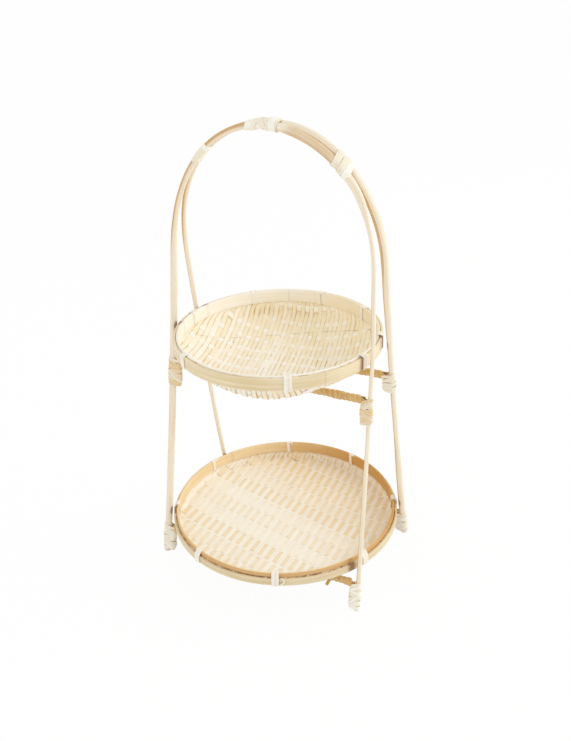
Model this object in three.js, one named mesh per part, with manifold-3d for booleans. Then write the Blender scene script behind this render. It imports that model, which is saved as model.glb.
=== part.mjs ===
// A two-tier bamboo storage rack: two bent cane hoops, four bound cross bars and two round woven trays.
// Millimetres, +Z up. The origin is on the floor midway between the feet.
// The span of the hoops runs along X, and the front is -Y.
import * as THREE from "three";
import { mergeVertices } from "three/addons/utils/BufferGeometryUtils.js";
import Module from "manifold-3d";

// Cane hoops: each is one tapered stick, and the two are laid with their thick ends on opposite sides
const poleThickRadius = 4.5;
const poleMiddleRadius = 3.8;
const poleThinRadius = 2.8;
const taperStart = 0.55; // share of a hoop's length, from its thick foot, past which it thins faster
const taperEnd = 0.78;
const archHalfSpan = 126;
const archRise = 140;
const springHeight = 408;
const archFullness = 2.1; // how square the arch is: 2 is an ellipse
const archLean = 3; // degrees by which the arch already leans in where it starts, in line with the legs
const joinAngle = 45; // degrees up the arch, where the two hoops come together
const crossDip = 2.5; // how far each hoop dips inside the other, past the crown from its thick foot
const crossSkew = 0.7; // below 1, that dip is deepest close to the crown
const splayPower = 1.4; // how the legs curve apart from where the hoops join: 1 is straight
const legBearing = 27; // degrees from the span to a leg, seen from above at the lower tray

// Cross bars: one under each tray on each hoop, with both ends bent down beside the legs
const barRadius = 3.3;
const barBend = 6.5;
const upperBarHeight = 268;
const barFloorGap = 3; // floor to the bent ends of the lower bars

// Trays: two split-bamboo bands hold the turned-up edge of a woven mat
const upperTrayRadius = 123;
const lowerTrayRadius = 149;
const bandHeight = 16;
const bandThickness = 2.2;
const matThickness = 2;
const matEdgeThickness = 1.6;
const matEdgeDrop = 1.5; // from the top of the bands down to the mat's cut edge
const upperSag = 28.5; // from the floor of a mat up to its rim
const lowerSag = 9.5;
const upperWall = 12.5; // the last, steep part of that, close under the rim
const lowerWall = 6;
const wallRun = 3.6; // how far a steep wall leans in
const sagPower = 2; // how the mat curves from its flat floor up to the wall: 1 is straight
const floorPastBar = 10; // how far the flat floor reaches past the bars

// Peel: the split cane skin of every winding
const peelThickness = 0.9;
const lashingWidth = 3.6;
const lashingSpacing = 0.95;
const lashingMargin = 1.5;
const jointTurns = 5;
const crownTurns = 7;
const shoulderTurns = 4;
const shoulderAngle = 49; // degrees up the arch
const crownAngle = 87.5;
const wrapWidth = 11;
const wrapTurns = 16;
const bindingWidth = 2.6;
const bindingSpacing = 0.6;
const bindingTurns = 2;
const upperBindingAngles = [16, 54, 89, 132, 178, 237, 302, 348];
const lowerBindingAngles = [27, 74, 114, 162, 206, 249, 292, 338];

// Clearances
const fitGap = 0.3;
const rodGap = 0.3;
const trayClearance = 0.6; // lower tray to the legs that stand round it
const slideClearance = 1.2; // upper tray to the legs that it slides out between

// How finely the round forms are divided
const poleSides = 8;
const barSides = 8;
const legSteps = 12;
const archSteps = 30;
const bendSteps = 4;
const ringSegments = 48;
const sagSteps = 5;
const rodSteps = 4;
const wrapSteps = 6;
const weldDistance = 1e-4;

const wasm = await Module();
wasm.setup();

const cane = { color: 0xf0dfbc, roughness: 0.5 };
const barCane = { color: 0xe2c48c, roughness: 0.55 };
const goldenPeel = { color: 0xcfa05c, roughness: 0.55 };
const creamPeel = { color: 0xf6f2e4, roughness: 0.6 };
const upperBand = { color: 0xefe0b8, roughness: 0.5 };
const lowerBand = { color: 0xdcbf86, roughness: 0.5 };
const upperWeave = { color: 0xf2e6c6, roughness: 0.6 };
const lowerWeave = { color: 0xf3e3c2, roughness: 0.6 };

const radians = THREE.MathUtils.degToRad;
const point = (x, y, z) => new THREE.Vector3(x, y, z);

// Levels that follow from what rests on what
const bindingStand = fitGap + peelThickness;
const jointLength = jointTurns * (lashingWidth + lashingSpacing);
const dropLength = barBend + jointLength + 2 * lashingMargin;
const lowerBarHeight = barFloorGap + dropLength;
const wrapReach = (barRadius + fitGap) / Math.cos(Math.PI / wrapSteps) + peelThickness;

function trayLevels(radius, barHeight, sag, wall) {
  const floor = barHeight + wrapReach + fitGap;
  const rimBottom = floor + matThickness + sag + fitGap;
  return { radius, barHeight, sag, wall, floor, rimBottom, rimTop: rimBottom + bandHeight };
}

const upper = trayLevels(upperTrayRadius, upperBarHeight, upperSag, upperWall);
const lower = trayLevels(lowerTrayRadius, lowerBarHeight, lowerSag, lowerWall);

// Closed skins

// Merges the corners of a skin, drops its empty triangles and turns its faces outwards
function closed(geometry) {
  for (const extra of ["normal", "uv"]) {
    geometry.deleteAttribute(extra);
  }
  const merged = mergeVertices(geometry, weldDistance);
  const place = merged.getAttribute("position");
  const corner = (i) => new THREE.Vector3().fromBufferAttribute(place, i);
  const old = merged.getIndex().array;
  const index = [];
  let volume = 0;
  for (let i = 0; i < old.length; i += 3) {
    const [a, b, c] = [old[i], old[i + 1], old[i + 2]];
    if (a !== b && b !== c && c !== a) {
      index.push(a, b, c);
      volume += corner(a).dot(corner(b).cross(corner(c)));
    }
  }
  merged.setIndex(volume < 0 ? index.reverse() : index);
  merged.computeVertexNormals();
  return merged;
}

// Joins rings of points, each with as many points, into one skin with both ends filled
function loft(rings) {
  const sides = rings[0].length;
  const last = (rings.length - 1) * sides;
  const index = [];
  for (let start = 0; start < last; start += sides) {
    for (let side = 0; side < sides; side++) {
      const a = start + side;
      const b = start + ((side + 1) % sides);
      index.push(a, b, b + sides, a, b + sides, a + sides);
    }
  }
  for (let side = 1; side < sides - 1; side++) {
    index.push(0, side + 1, side, last, last + side, last + side + 1);
  }
  const geometry = new THREE.BufferGeometry().setFromPoints(rings.flat());
  geometry.setIndex(index);
  return closed(geometry);
}

// Rings of a round stick along a path that never runs along Y
function stickRings(path, radiusOf, sides) {
  return path.map((centre, i) => {
    const ahead = path[Math.min(i + 1, path.length - 1)];
    const behind = path[Math.max(i - 1, 0)];
    const along = ahead.clone().sub(behind).normalize();
    const across = point(0, 1, 0).addScaledVector(along, -along.y).normalize();
    const third = along.clone().cross(across);
    const ring = [];
    for (let side = 0; side < sides; side++) {
      const turn = (2 * Math.PI * side) / sides;
      const out = across.clone().multiplyScalar(Math.cos(turn)).addScaledVector(third, Math.sin(turn));
      ring.push(centre.clone().addScaledVector(out, radiusOf(i)));
    }
    return ring;
  });
}

// A ring-shaped solid turned about Z from a profile of [radius, height] pairs
function turned(profile) {
  const outline = profile.map(([radius, height]) => new THREE.Vector2(radius, height));
  return closed(new THREE.LatheGeometry(outline, ringSegments).rotateX(Math.PI / 2));
}

function toSolid(geometry) {
  const vertProperties = Float32Array.from(geometry.getAttribute("position").array);
  const triVerts = Uint32Array.from(geometry.getIndex().array);
  return new wasm.Manifold(new wasm.Mesh({ numProp: 3, vertProperties, triVerts }));
}

function fromSolid(solid) {
  const { vertProperties, triVerts } = solid.getMesh();
  const geometry = new THREE.BufferGeometry();
  geometry.setAttribute("position", new THREE.BufferAttribute(vertProperties, 3));
  geometry.setIndex(new THREE.BufferAttribute(triVerts, 1));
  geometry.computeVertexNormals();
  return geometry;
}

// Hoops

// The arch is part of a slightly squared ellipse that starts a little above its widest level
const squared = (share) => Math.sign(share) * Math.abs(share) ** (2 / archFullness);
const archWidth = archHalfSpan / squared(Math.cos(radians(archLean)));
const archHeight = archRise / (1 - squared(Math.sin(radians(archLean))));
const archCentre = springHeight + archRise - archHeight;
const archLength = (Math.PI - 2 * radians(archLean)) * Math.hypot(archWidth, archHeight) * Math.SQRT1_2;
const poleLength = 2 * springHeight + archLength;
const joinHeight = archCentre + archHeight * squared(Math.sin(radians(joinAngle)));

// The front hoop's radius at a distance along it from its thick left foot
function poleRadius(along) {
  const share = along / poleLength;
  const slow = THREE.MathUtils.lerp(poleThickRadius, poleMiddleRadius, Math.min(1, share / taperStart));
  return THREE.MathUtils.lerp(slow, poleThinRadius, THREE.MathUtils.smoothstep(share, taperStart, taperEnd));
}

const legRadius = (side, height) => poleRadius(side < 0 ? height : poleLength - height);

// How far a leg stands out from the plane between the hoops, set by the lower tray that it touches
function legSplay(side, height) {
  const radius = legRadius(side, lower.rimTop);
  const reach = lower.radius + bindingStand + trayClearance + radius;
  const atRim = reach * Math.sin(radians(legBearing)) - radius - rodGap / 2;
  const opening = (level) => Math.max(0, 1 - level / joinHeight) ** splayPower;
  return (atRim * opening(height)) / opening(lower.rimTop);
}

// A leg's half span: one smooth bow through its places at the two rims and at the foot of the arch
function legSpan(side, height) {
  const lowReach = lower.radius + bindingStand + trayClearance + legRadius(side, lower.rimTop);
  const stations = [
    [lower.rimTop, lowReach * Math.cos(radians(legBearing))],
    [upper.rimTop, upper.radius + bindingStand + slideClearance + legRadius(side, upper.rimTop)],
    [springHeight, archHalfSpan],
  ];
  let span = 0;
  for (const [level, value] of stations) {
    let weight = 1;
    for (const [other] of stations) {
      weight *= other === level ? 1 : (height - other) / (level - other);
    }
    span += weight * value;
  }
  return span;
}

// Centre line of the front hoop: side is -1 on its thick left leg and 1 on its thin right leg
function legPoint(side, height) {
  const depth = legRadius(side, height) + rodGap / 2 + legSplay(side, height);
  return point(side * legSpan(side, height), -depth, height);
}

function archRadius(turn) {
  const share = THREE.MathUtils.inverseLerp(radians(archLean), Math.PI - radians(archLean), turn);
  return poleRadius(springHeight + archLength * share);
}

// The hoops cross at the crown, so on its thin side each lies a little inside the other
function archDip(turn) {
  const share = Math.max(0, turn - Math.PI / 2) / (Math.PI / 2 - radians(archLean));
  return crossDip * Math.sin(Math.PI * Math.min(1, share) ** crossSkew) ** 2;
}

function archPoint(turn) {
  const height = archCentre + archHeight * squared(Math.sin(turn));
  const depth = archRadius(turn) + rodGap / 2 + legSplay(turn < Math.PI / 2 ? -1 : 1, height);
  const inward = point(Math.cos(turn), 0, -Math.sin(turn)).multiplyScalar(archDip(turn));
  return point(-archWidth * squared(Math.cos(turn)), -depth, height).add(inward);
}

function hoop() {
  const path = [];
  const radii = [];
  for (let i = 0; i < legSteps; i++) {
    const height = (springHeight * i) / legSteps;
    path.push(legPoint(-1, height));
    radii.push(legRadius(-1, height));
  }
  for (let i = 0; i <= archSteps; i++) {
    const turn = THREE.MathUtils.lerp(radians(archLean), Math.PI - radians(archLean), i / archSteps);
    path.push(archPoint(turn));
    radii.push(archRadius(turn));
  }
  for (let i = legSteps - 1; i >= 0; i--) {
    const height = (springHeight * i) / legSteps;
    path.push(legPoint(1, height));
    radii.push(legRadius(1, height));
  }
  const rings = stickRings(path, (i) => radii[i], poleSides);
  // Both feet are cut level with the floor
  for (const [foot, next] of [[0, 1], [path.length - 1, path.length - 2]]) {
    const along = path[next].clone().sub(path[foot]);
    for (const corner of rings[foot]) {
      corner.addScaledVector(along, -corner.z / along.z);
    }
  }
  return loft(rings);
}

// Cross bars of the front hoop

// Centre of a bar's bent end, on the inner side of the leg that it is lashed to
function dropPoint(side, height) {
  const inward = legRadius(side, height) + rodGap + barRadius;
  return legPoint(side, height).add(point(-side * inward, 0, 0));
}

function barPath(barHeight) {
  const path = [];
  for (const side of [-1, 1]) {
    const corner = dropPoint(side, barHeight);
    const inner = corner.clone().add(point(-side * barBend, 0, 0));
    const outer = dropPoint(side, barHeight - barBend);
    const bend = new THREE.QuadraticBezierCurve3(outer, corner, inner).getPoints(bendSteps);
    const end = [dropPoint(side, barHeight - dropLength), ...bend];
    path.push(...(side < 0 ? end : end.reverse()));
  }
  return path;
}

function bar(barHeight) {
  return loft(stickRings(barPath(barHeight), () => barRadius, barSides));
}

// Windings of peel

// Prints the least distance between points of a winding that lie half a turn or more apart along it
function reportLeastGap(name, rings, stepsPerTurn) {
  let least = Infinity;
  for (let i = 0; i < rings.length; i++) {
    for (let j = i + Math.ceil(stepsPerTurn / 2); j < rings.length; j++) {
      for (const a of rings[i]) {
        for (const b of rings[j]) {
          least = Math.min(least, a.distanceTo(b));
        }
      }
    }
  }
  console.log(`${name}: least gap between turns ${least.toFixed(2)} mm`);
}

// A flat peel section: centre line, outward direction and the direction across the peel
function peelRing(inside, out, across, width) {
  const ring = [];
  for (const [rise, shift] of [[0, -1], [1, -1], [1, 1], [0, 1]]) {
    const corner = inside.clone().addScaledVector(out, rise * peelThickness);
    ring.push(corner.addScaledVector(across, (shift * width) / 2));
  }
  return ring;
}

// Peel wound round two canes that lie side by side; coreAt gives both canes at a distance along the winding
function lashing(name, coreAt, turns) {
  const pitch = lashingWidth + lashingSpacing;
  const halfStep = Math.PI / (rodSteps - 1) / 2;
  const stepsPerTurn = 2 * rodSteps;
  const section = (along, cane, turn, slip) => {
    const { canes, axis } = coreAt(along);
    const toward = canes[1].centre.clone().sub(canes[0].centre).normalize();
    const upward = axis.clone().cross(toward);
    const out = toward.clone().multiplyScalar(Math.cos(turn)).addScaledVector(upward, Math.sin(turn));
    const inside = (each) =>
      each.centre.clone().addScaledVector(out, (each.radius + fitGap) / Math.cos(halfStep));
    const place = inside(canes[cane]);
    const run = inside(canes[1 - cane]).sub(place).normalize();
    return peelRing(place.addScaledVector(run, slip), out, axis, lashingWidth);
  };
  const length = turns * pitch;
  const rings = [section(-length / 2, 1, -Math.PI / 2, lashingWidth)];
  for (let step = 0; step < turns * stepsPerTurn; step++) {
    const along = -length / 2 + (pitch * step) / stepsPerTurn;
    const cane = step % stepsPerTurn < rodSteps ? 1 : 0;
    const turn = ((step % rodSteps) / (rodSteps - 1) - 0.5) * Math.PI + (cane ? 0 : Math.PI);
    rings.push(section(along, cane, turn, 0));
  }
  rings.push(section(length / 2 - pitch / stepsPerTurn, 0, 1.5 * Math.PI, lashingWidth));
  reportLeastGap(name, rings, stepsPerTurn);
  return loft(rings);
}

// A lashing round both hoops, centred at an angle up the arch
function archLashing(name, middle, turns) {
  const nudge = radians(1);
  const stretch = (turn) => archPoint(turn + nudge).sub(archPoint(turn - nudge)).setY(0);
  const speed = stretch(middle).length() / (2 * nudge);
  const coreAt = (along) => {
    const turn = middle + along / speed;
    const back = archPoint(Math.PI - turn);
    const axis = stretch(turn).normalize();
    const canes = [
      { centre: archPoint(turn), radius: archRadius(turn) },
      { centre: point(-back.x, -back.y, back.z), radius: archRadius(Math.PI - turn) },
    ];
    return { canes, axis };
  };
  return lashing(name, coreAt, turns);
}

// A lashing that ties a bar's bent end to its leg
function jointLashing(name, side, barHeight) {
  const middle = barHeight - barBend - lashingMargin - jointLength / 2;
  const legAxis = legPoint(side, middle + jointLength).sub(legPoint(side, middle)).normalize();
  const coreAt = (along) => {
    const height = middle + along * legAxis.z;
    const canes = [
      { centre: legPoint(side, height), radius: legRadius(side, height) },
      { centre: dropPoint(side, height), radius: barRadius },
    ];
    return { canes, axis: legAxis };
  };
  return lashing(name, coreAt, jointTurns);
}

// Peel wound in an open spiral along a bar's level stretch, ridged along its middle
function barWrap(name, barHeight) {
  const clear = barBend + lashingMargin + wrapWidth / 2;
  const from = dropPoint(-1, barHeight).add(point(clear, 0, 0));
  const to = dropPoint(1, barHeight).add(point(-clear, 0, 0));
  const along = to.clone().sub(from).normalize();
  const across = point(0, 1, 0).addScaledVector(along, -along.y).normalize();
  const third = along.clone().cross(across);
  const steps = wrapTurns * wrapSteps;
  const rings = [];
  for (let step = 0; step <= steps; step++) {
    const turn = (2 * Math.PI * step) / wrapSteps;
    const out = third.clone().multiplyScalar(Math.cos(turn)).addScaledVector(across, Math.sin(turn));
    const inside = from.clone().lerp(to, step / steps);
    inside.addScaledVector(out, wrapReach - peelThickness);
    rings.push([
      inside.clone().addScaledVector(along, -wrapWidth / 2),
      inside.clone().addScaledVector(out, peelThickness),
      inside.clone().addScaledVector(along, wrapWidth / 2),
    ]);
  }
  reportLeastGap(name, rings, wrapSteps);
  return loft(rings);
}

// Trays

// From the outside of a rim: outer band, mat edge and inner band, with a gap on both sides of the edge
const edgeOuter = bandThickness + fitGap;
const edgeInner = edgeOuter + matEdgeThickness;
const innerBandOuter = edgeInner + fitGap;
const rimThickness = innerBandOuter + bandThickness;

function band(outerRadius, { rimBottom, rimTop }) {
  const innerRadius = outerRadius - bandThickness;
  return turned([
    [innerRadius, rimBottom],
    [outerRadius, rimBottom],
    [outerRadius, rimTop],
    [innerRadius, rimTop],
    [innerRadius, rimBottom],
  ]);
}

// The mat: a floor on the bars, a dish up to a short steep wall and an edge that stands between the bands
function mat({ radius, barHeight, sag, wall, floor, rimBottom, rimTop }, bindingAngles) {
  const flatRadius = Math.abs(dropPoint(-1, barHeight).y) + floorPastBar;
  const shoulder = radius - innerBandOuter;
  const wallFoot = shoulder - wallRun;
  const dishWidth = wallFoot - flatRadius;
  const rise = (at) => floor + (sag - wall) * ((at - flatRadius) / dishWidth) ** sagPower;
  // Where the topside turns from dish to wall, so that the mat keeps its thickness
  const steep = Math.atan2(wall, wallRun);
  const slope = Math.atan2(sagPower * (sag - wall), dishWidth);
  const inset = (matThickness * Math.sin((steep + slope) / 2)) / Math.cos((steep - slope) / 2);
  const underside = [[0, floor]];
  const topside = [[0, floor + matThickness]];
  for (let i = 0; i <= sagSteps; i++) {
    const low = flatRadius + (dishWidth * i) / sagSteps;
    const high = flatRadius + ((dishWidth - inset) * i) / sagSteps;
    underside.push([low, rise(low)]);
    topside.push([high, rise(high) + matThickness]);
  }
  const edgeTop = rimTop - matEdgeDrop;
  const ledge = shoulder - matThickness * Math.sin(steep);
  const shelf = floor + sag;
  const profile = [
    ...underside,
    [shoulder, shelf],
    [radius - edgeOuter, shelf],
    [radius - edgeOuter, edgeTop],
    [radius - edgeInner, edgeTop],
    [radius - edgeInner, shelf + matThickness],
    [ledge, shelf + matThickness],
    [ledge, shelf + matThickness * Math.cos(steep)],
    ...topside.reverse(),
  ];
  // Each binding passes through the mat under the rim, in a notch of its own
  let solid = toSolid(turned(profile));
  const pitch = bindingWidth + bindingSpacing;
  const notchLength = rimThickness + 2 * bindingStand;
  const notchWidth = bindingTurns * pitch + bindingWidth + 2 * fitGap;
  const notchHeight = bindingStand + fitGap;
  for (const angle of bindingAngles) {
    const notch = new THREE.BoxGeometry(notchLength, notchWidth, notchHeight);
    notch.translate(radius - bandThickness - notchLength / 2, pitch / 2, rimBottom - notchHeight / 2);
    notch.rotateZ(radians(angle));
    solid = solid.subtract(toSolid(closed(notch)));
  }
  return fromSolid(solid);
}

// Peel bound over the rim: straight across the faces and over to the next turn under the rim
function binding(name, { radius, rimBottom, rimTop }, angle) {
  const flat = Math.cos(Math.PI / ringSegments);
  const inner = (radius - rimThickness) * flat;
  const corners = [
    { at: [inner - fitGap, rimTop], out: [-1, 0], over: 0 },
    { at: [inner, rimTop + fitGap], out: [0, 1], over: 0 },
    { at: [radius, rimTop + fitGap], out: [0, 1], over: 0 },
    { at: [radius + fitGap, rimTop], out: [1, 0], over: 0 },
    { at: [radius + fitGap, rimBottom], out: [1, 0], over: 0 },
    { at: [radius, rimBottom - fitGap], out: [0, -1], over: 1 / 3 },
    { at: [inner, rimBottom - fitGap], out: [0, -1], over: 2 / 3 },
    { at: [inner - fitGap, rimBottom], out: [-1, 0], over: 1 },
  ];
  const radial = point(Math.cos(radians(angle)), Math.sin(radians(angle)), 0);
  const tangent = point(-radial.y, radial.x, 0);
  const pitch = bindingWidth + bindingSpacing;
  const section = ({ at, out, over }, turn) => {
    const shift = (turn + over - (bindingTurns - 1) / 2) * pitch;
    const inside = radial.clone().multiplyScalar(at[0]).addScaledVector(tangent, shift);
    inside.z = at[1];
    const outward = radial.clone().multiplyScalar(out[0]);
    outward.z = out[1];
    return peelRing(inside, outward, tangent, bindingWidth);
  };
  const rings = [section(corners[corners.length - 1], -1)];
  for (let turn = 0; turn < bindingTurns; turn++) {
    rings.push(...corners.map((corner) => section(corner, turn)));
  }
  // The last turn stops under the rim
  rings.pop();
  reportLeastGap(name, rings, corners.length);
  return loft(rings);
}

// The rack

const rack = new THREE.Group();

function add(parent, name, geometry, finish) {
  const piece = new THREE.Mesh(geometry, new THREE.MeshStandardMaterial({ ...finish, metalness: 0 }));
  piece.name = name;
  parent.add(piece);
}

// The back half is the front half turned half round, so its thick leg is on the right
const halves = [
  { half: "front", turn: 0, legs: [[-1, "left"], [1, "right"]] },
  { half: "back", turn: Math.PI, legs: [[-1, "right"], [1, "left"]] },
];
const tiers = [["upper", upper], ["lower", lower]];
for (const { half, turn, legs } of halves) {
  const frame = new THREE.Group();
  frame.rotation.z = turn;
  rack.add(frame);
  add(frame, `${half}_hoop`, hoop(), cane);
  for (const [tier, { barHeight }] of tiers) {
    const wrap = `${tier}_${half}_bar_wrap`;
    add(frame, `${tier}_${half}_bar`, bar(barHeight), barCane);
    add(frame, wrap, barWrap(wrap, barHeight), goldenPeel);
    for (const [side, hand] of legs) {
      const tie = `${tier}_${half}_${hand}_lashing`;
      add(frame, tie, jointLashing(tie, side, barHeight), creamPeel);
    }
  }
}

const arch = [
  ["left_shoulder_lashing", shoulderAngle, shoulderTurns],
  ["crown_lashing", crownAngle, crownTurns],
  ["right_shoulder_lashing", 180 - shoulderAngle, shoulderTurns],
];
for (const [name, angle, turns] of arch) {
  add(rack, name, archLashing(name, radians(angle), turns), creamPeel);
}

const trays = [
  { tier: "upper", levels: upper, angles: upperBindingAngles, bands: upperBand, weave: upperWeave },
  { tier: "lower", levels: lower, angles: lowerBindingAngles, bands: lowerBand, weave: lowerWeave },
];
for (const { tier, levels, angles, bands, weave } of trays) {
  const tray = new THREE.Group();
  rack.add(tray);
  add(tray, `${tier}_outer_band`, band(levels.radius, levels), bands);
  add(tray, `${tier}_inner_band`, band(levels.radius - innerBandOuter, levels), bands);
  add(tray, `${tier}_mat`, mat(levels, angles), weave);
  angles.forEach((angle, i) => {
    const name = `${tier}_binding_${i + 1}`;
    add(tray, name, binding(name, levels, angle), creamPeel);
  });
}

export default rack;
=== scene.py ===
"""The looks of a tiered bamboo rack, modelled round its fixed frame.

Two bent cane hoops carry wound cross bars, and two round woven trays lie on the bars.
"""

import math
import random

import bpy
import numpy as np
from bpy.props import FloatProperty, FloatVectorProperty, IntProperty, PointerProperty
from mathutils import Matrix, Vector


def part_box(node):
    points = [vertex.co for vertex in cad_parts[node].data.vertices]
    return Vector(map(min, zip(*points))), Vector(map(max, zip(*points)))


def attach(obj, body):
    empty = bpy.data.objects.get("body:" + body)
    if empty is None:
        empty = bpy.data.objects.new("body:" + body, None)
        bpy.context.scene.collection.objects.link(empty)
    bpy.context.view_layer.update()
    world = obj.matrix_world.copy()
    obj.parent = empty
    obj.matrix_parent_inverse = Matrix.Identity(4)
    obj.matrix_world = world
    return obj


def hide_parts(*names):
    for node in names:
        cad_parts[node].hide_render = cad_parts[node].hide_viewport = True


bl_info = {
    "name": "Tiered Bamboo Rack",
    "version": (1, 0, 0),
    "blender": (4, 5, 0),
    "location": "3D View > Sidebar > Rack",
    "description": "Models and finishes the canes, windings, rims and woven mats of a tiered rack",
    "category": "Add Mesh",
}

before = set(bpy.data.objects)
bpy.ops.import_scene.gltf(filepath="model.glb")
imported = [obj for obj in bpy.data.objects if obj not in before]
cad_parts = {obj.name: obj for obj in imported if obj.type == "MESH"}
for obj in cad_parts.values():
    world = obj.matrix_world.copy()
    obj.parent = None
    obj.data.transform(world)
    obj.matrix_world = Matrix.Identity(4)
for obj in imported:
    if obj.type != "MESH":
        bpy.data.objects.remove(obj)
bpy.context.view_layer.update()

MM = 0.001
HALVES = ("front", "back")
TIERS = ("upper", "lower")
SIDES = {"left": -1, "right": 1}
UP = np.array((0.0, 0.0, 1.0))
DEPTH = np.array((0.0, 1.0, 0.0))


def srgb(code):
    """Linear colour of a six-digit hex code."""
    shares = [int(code[i : i + 2], 16) / 255 for i in (0, 2, 4)]
    return tuple(s / 12.92 if s <= 0.04045 else ((s + 0.055) / 1.055) ** 2.4 for s in shares)


# Sizes and colours that a user would change


def length(name, description, default):
    """A length in metres, given in millimetres."""
    return FloatProperty(
        name=name, description=description, default=default * MM, min=0, precision=5, unit="LENGTH"
    )


def tray_lengths(name, description, upper, lower):
    """A length for each tray in metres, given in millimetres."""
    return FloatVectorProperty(
        name=name,
        description=description + ", upper tray then lower",
        size=2,
        default=(upper * MM, lower * MM),
        precision=5,
        unit="LENGTH",
    )


def tray_angles(name, description, upper, lower):
    """An angle for each tray in radians, given in degrees."""
    return FloatVectorProperty(
        name=name,
        description=description + ", upper tray then lower",
        size=2,
        default=(math.radians(upper), math.radians(lower)),
        unit="ROTATION",
    )


def colour(name, description, code):
    """A colour given as a hex code."""
    return FloatVectorProperty(
        name=name, description=description, subtype="COLOR", size=3, min=0, max=1, default=srgb(code)
    )


class RackCaneSizes(bpy.types.PropertyGroup):
    """Sizes of the hoops and cross bars"""

    sides: IntProperty(name="Sides", description="Faces round a cane", default=20, min=8)
    step: length("Step", "Distance between rings along a cane", 5)
    node_spacing: length("Node Spacing", "Distance between the growth rings of the cane", 178)
    node_swell: length("Node Swell", "How far a growth ring stands out", 0.1)
    node_width: length("Node Width", "Length of the swelling at a growth ring", 3)
    wander: length("Wander", "Uneven thickness of the cane", 0.12)
    cut_round: length("Cut Round", "Rounding of the cut ends", 0.5)


class RackPeelSizes(bpy.types.PropertyGroup):
    """Sizes of the peel in the windings"""

    thickness: length("Thickness", "Thickness of the peel", 0.5)
    crown: length("Crown", "How far the peel bulges across its width", 0.22)
    lashing_width: length("Lashing Width", "Width of the peel that ties canes together", 4.7)
    shoulder_width: length("Shoulder Width", "Width of the peel at the shoulders", 7.8)
    shoulder_slit: length("Shoulder Slit", "Slit near the upper end of a shoulder", 0.7)
    ring_crown: length("Ring Crown", "How far the peel of the ties bulges across its width", 0.75)
    shoulder_crown: length("Shoulder Crown", "How far it bulges at the shoulders", 0.3)
    wrap_pitch: length("Wrap Pitch", "Distance between turns along a cross bar", 6.2)
    wrap_gap: length("Wrap Gap", "Gap between turns along a cross bar", 0.25)
    wrap_crown: length("Wrap Crown", "How far that peel bulges across its width", 0.6)
    wrap_end: length("Wrap End", "How far that peel runs into the elbows", 1.5)
    strand_width: length("Strand Width", "Width of the strand of a rim binding", 4.4)
    strand_gap: length("Strand Gap", "Gap between the turns of a rim binding", 0.15)


class RackRimSizes(bpy.types.PropertyGroup):
    """Sizes of the split-bamboo bands round the trays"""

    steps: IntProperty(name="Steps", description="Faces round a band", default=216, min=48)
    thickness: length("Thickness", "Thickness of a band, which closes on the mat's edge", 2.9)
    rounding: length("Rounding", "Rounding of a band's long edges", 0.5)
    outer_step: tray_lengths("Outer Step", "How much lower the outer band is than the inner", 1.0, 6)
    lap: length("Lap", "Step where a band's end laps over its start", 0.55)
    ripple: length("Ripple", "Unevenness of a band's edges", 0.22)


class RackWeaveSizes(bpy.types.PropertyGroup):
    """Sizes of the splints in the woven mats"""

    weft_pitch: tray_lengths("Weft Pitch", "Distance between the narrow splints", 5.9, 3.025)
    weft_width: tray_lengths("Weft Width", "Width of the narrow splints", 5.85, 2.95)
    weft_lift: tray_lengths("Weft Lift", "How far the narrow splints rise and dip", 0.2, 0.3)
    weft_lean: tray_angles("Weft Lean", "Turn of the narrow splints from the depth", 14, 0)
    warp_pitch: tray_lengths("Warp Pitch", "Distance between the cross splints", 23.4, 24.3)
    warp_width: tray_lengths("Warp Width", "Width of the cross splints", 7.2, 21.4)
    warp_lift: tray_lengths("Warp Lift", "How far the cross splints rise and dip", 0.22, 0.2)
    warp_lean: tray_angles("Warp Lean", "Turn of the cross splints from the span", 7, -11.5)
    thickness: length("Thickness", "Thickness of a splint", 0.4)
    scallop: length("Scallop", "How far every second splint stands out where the wall starts", 1.1)
    crease: length("Crease", "From the middle of the upper mat back to a thin brown crease", 80.3)
    ragged: length("Ragged", "Uneven height of the cut edge between the bands", 2.2)
    edge_rise: tray_lengths("Edge Rise", "Height of the highest cut edge above the outer band", 0.4, 1.3)


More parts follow.
